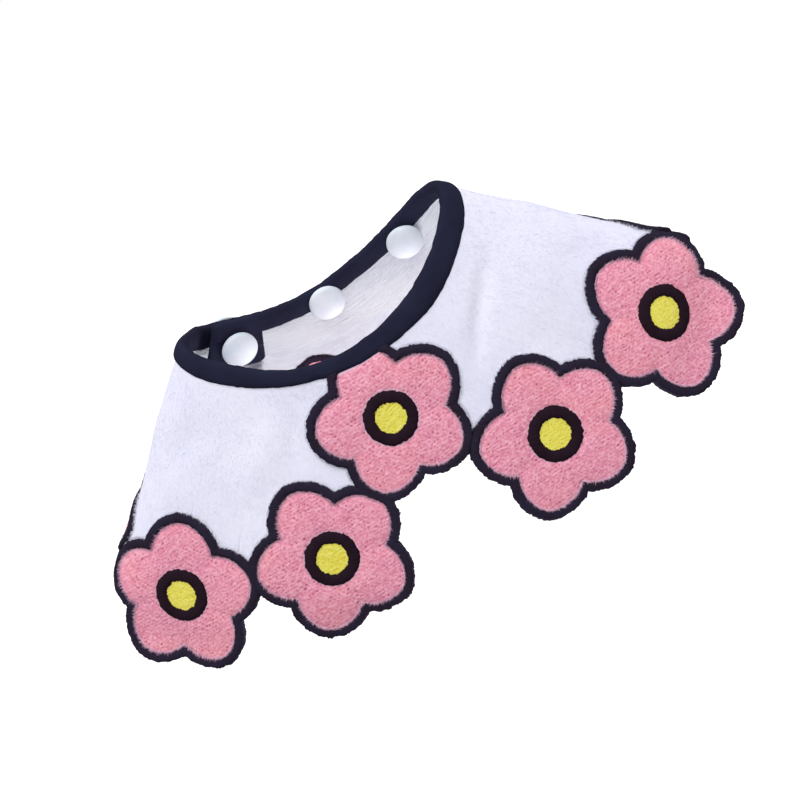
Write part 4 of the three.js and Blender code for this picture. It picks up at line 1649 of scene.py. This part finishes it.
@dataclass
class Studio:
    """White floor and surroundings, soft lights, and the camera."""

    azimuth: float = 1.317
    elevation: float = 20.4
    roll: float = 31.58
    distance: float = 286.2
    target: tuple[float, float, float] = (1.69, 0.0, -31.9)
    lens: float = 40.64
    floor_drop: float = 60.0
    floor_size: float = 40.0
    sky: float = 0.87
    floor_glow: float = 0.05
    key_watts: float = 4.3
    inside_watts: float = 0.22

    def axes(self) -> tuple[Array, Array, Array]:
        """The camera's right, up and back directions, before and after its roll."""
        az, el, roll = (math.radians(v) for v in (self.azimuth, self.elevation, self.roll))
        back = np.array([
            math.sin(az) * math.cos(el), -math.cos(az) * math.cos(el), math.sin(el)])
        right = np.array([math.cos(az), math.sin(az), 0.0])
        up = np.cross(back, right)
        turned = right * math.cos(roll) - up * math.sin(roll)
        return turned, right * math.sin(roll) + up * math.cos(roll), back

    def camera(self) -> None:
        """Sets the camera at its distance and roll."""
        right, up, back = self.axes()
        data = bpy.data.cameras.new("camera")
        data.lens = self.lens
        data.sensor_width = 36.0
        data.clip_start = 0.01
        data.clip_end = 100.0
        seat = (np.array(self.target) + back * self.distance) * MM
        matrix = Matrix.Identity(4)
        for column, axis in enumerate((right, up, back, seat)):
            for row in range(3):
                matrix[row][column] = float(axis[row])
        camera = bpy.data.objects.new("camera", data)
        camera.matrix_world = matrix
        bpy.context.scene.collection.objects.link(camera)
        bpy.context.scene.camera = camera

    def floor(self) -> None:
        """Lays the wide white floor, well below the hem."""
        half, z = self.floor_size / 2, CAD_BOX[0][2] - self.floor_drop * MM
        mesh = bpy.data.meshes.new("floor")
        corners = [(-half, -half, z), (half, -half, z), (half, half, z), (-half, half, z)]
        mesh.from_pydata(corners, [], [(0, 1, 2, 3)])
        floor = bpy.data.objects.new("floor", mesh)
        bpy.context.scene.collection.objects.link(floor)
        graph = Graph("floor_white", 1.0, 0.0)
        graph.shader.inputs["Base Color"].default_value = (0.2, 0.2, 0.2, 1.0)
        graph.shader.inputs["Emission Color"].default_value = (1.0, 1.0, 1.0, 1.0)
        strength = graph.spread(graph.add("LightPath").outputs["Is Camera Ray"], 0.0, 1.0)
        strength.node.inputs["To Min"].default_value = self.floor_glow
        strength.node.inputs["To Max"].default_value = 1.2
        graph.links.new(strength, graph.shader.inputs["Emission Strength"])
        mesh.materials.append(graph.material)

    def light(self, name: str, place: tuple[float, float, float], size: float, watts: float) -> None:
        """Hangs one square soft light, in metres, that looks at the collar."""
        data = bpy.data.lights.new(name, "AREA")
        data.energy = watts
        data.size = size
        lamp = bpy.data.objects.new(name, data)
        towards = Vector((0.0, 0.0, -0.03)) - Vector(place)
        lamp.rotation_euler = towards.to_track_quat("-Z", "Y").to_euler()
        lamp.location = place
        bpy.context.scene.collection.objects.link(lamp)

    def build(self) -> None:
        """Sets up everything that isn't the collar."""
        scene = bpy.context.scene
        scene.view_settings.view_transform = "Standard"
        world = bpy.data.worlds.new("white_room")
        world.use_nodes = True
        nodes, links = world.node_tree.nodes, world.node_tree.links
        nodes["Background"].inputs["Color"].default_value = (1, 1, 1, 1)
        rays = nodes.new("ShaderNodeLightPath")
        strength = nodes.new("ShaderNodeMapRange")
        strength.inputs["To Min"].default_value = self.sky
        strength.inputs["To Max"].default_value = 1.0
        links.new(rays.outputs["Is Camera Ray"], strength.inputs["Value"])
        links.new(strength.outputs["Result"], nodes["Background"].inputs["Strength"])
        scene.world = world
        self.camera()
        self.floor()
        self.light("key", (0.04, -0.4, 0.66), 0.5, self.key_watts)
        self.light("inside", (0.0, 0.0, -0.12), 0.09, self.inside_watts)


# ---------------------------------------------------------------- the collar


def main() -> None:
    """Builds the studio and the collar's pieces in order."""
    logging.basicConfig(level=logging.INFO, format="%(name)s %(message)s")
    Studio().build()
    cloth = Cloth()
    cut = Cut(cloth.cone)
    finishes = Finishes()
    workshop = Workshop()
    body = PlushBody(cloth, cut, finishes).build(workshop)
    tape = NeckTape(cloth, cut, finishes)
    on_cloth = [tape.build(workshop), EndTab(cloth, finishes).build(workshop)]
    stitches = Stitches()

    def below(s: float) -> float:
        """How far the tape reaches below the neck line."""
        return float(tape.width_at(np.array([s]))[1][0])

    for flower in FLOWERS:
        flower_work = Embroidery(flower, cloth, cut, finishes, stitches, below(flower.s))
        on_cloth += flower_work.build(workshop)
    Snaps(cloth, finishes).build(workshop)
    Pile(cloth, cut, finishes).build(workshop, below)
    width, length, area = cut.flat_size()
    LOG.info("flat cut %.4f by %.4f m, %.5f square metres", width, length, area)
    LOG.info("all pieces: %d triangles", workshop.total)


if __name__ == "__main__":
    main()
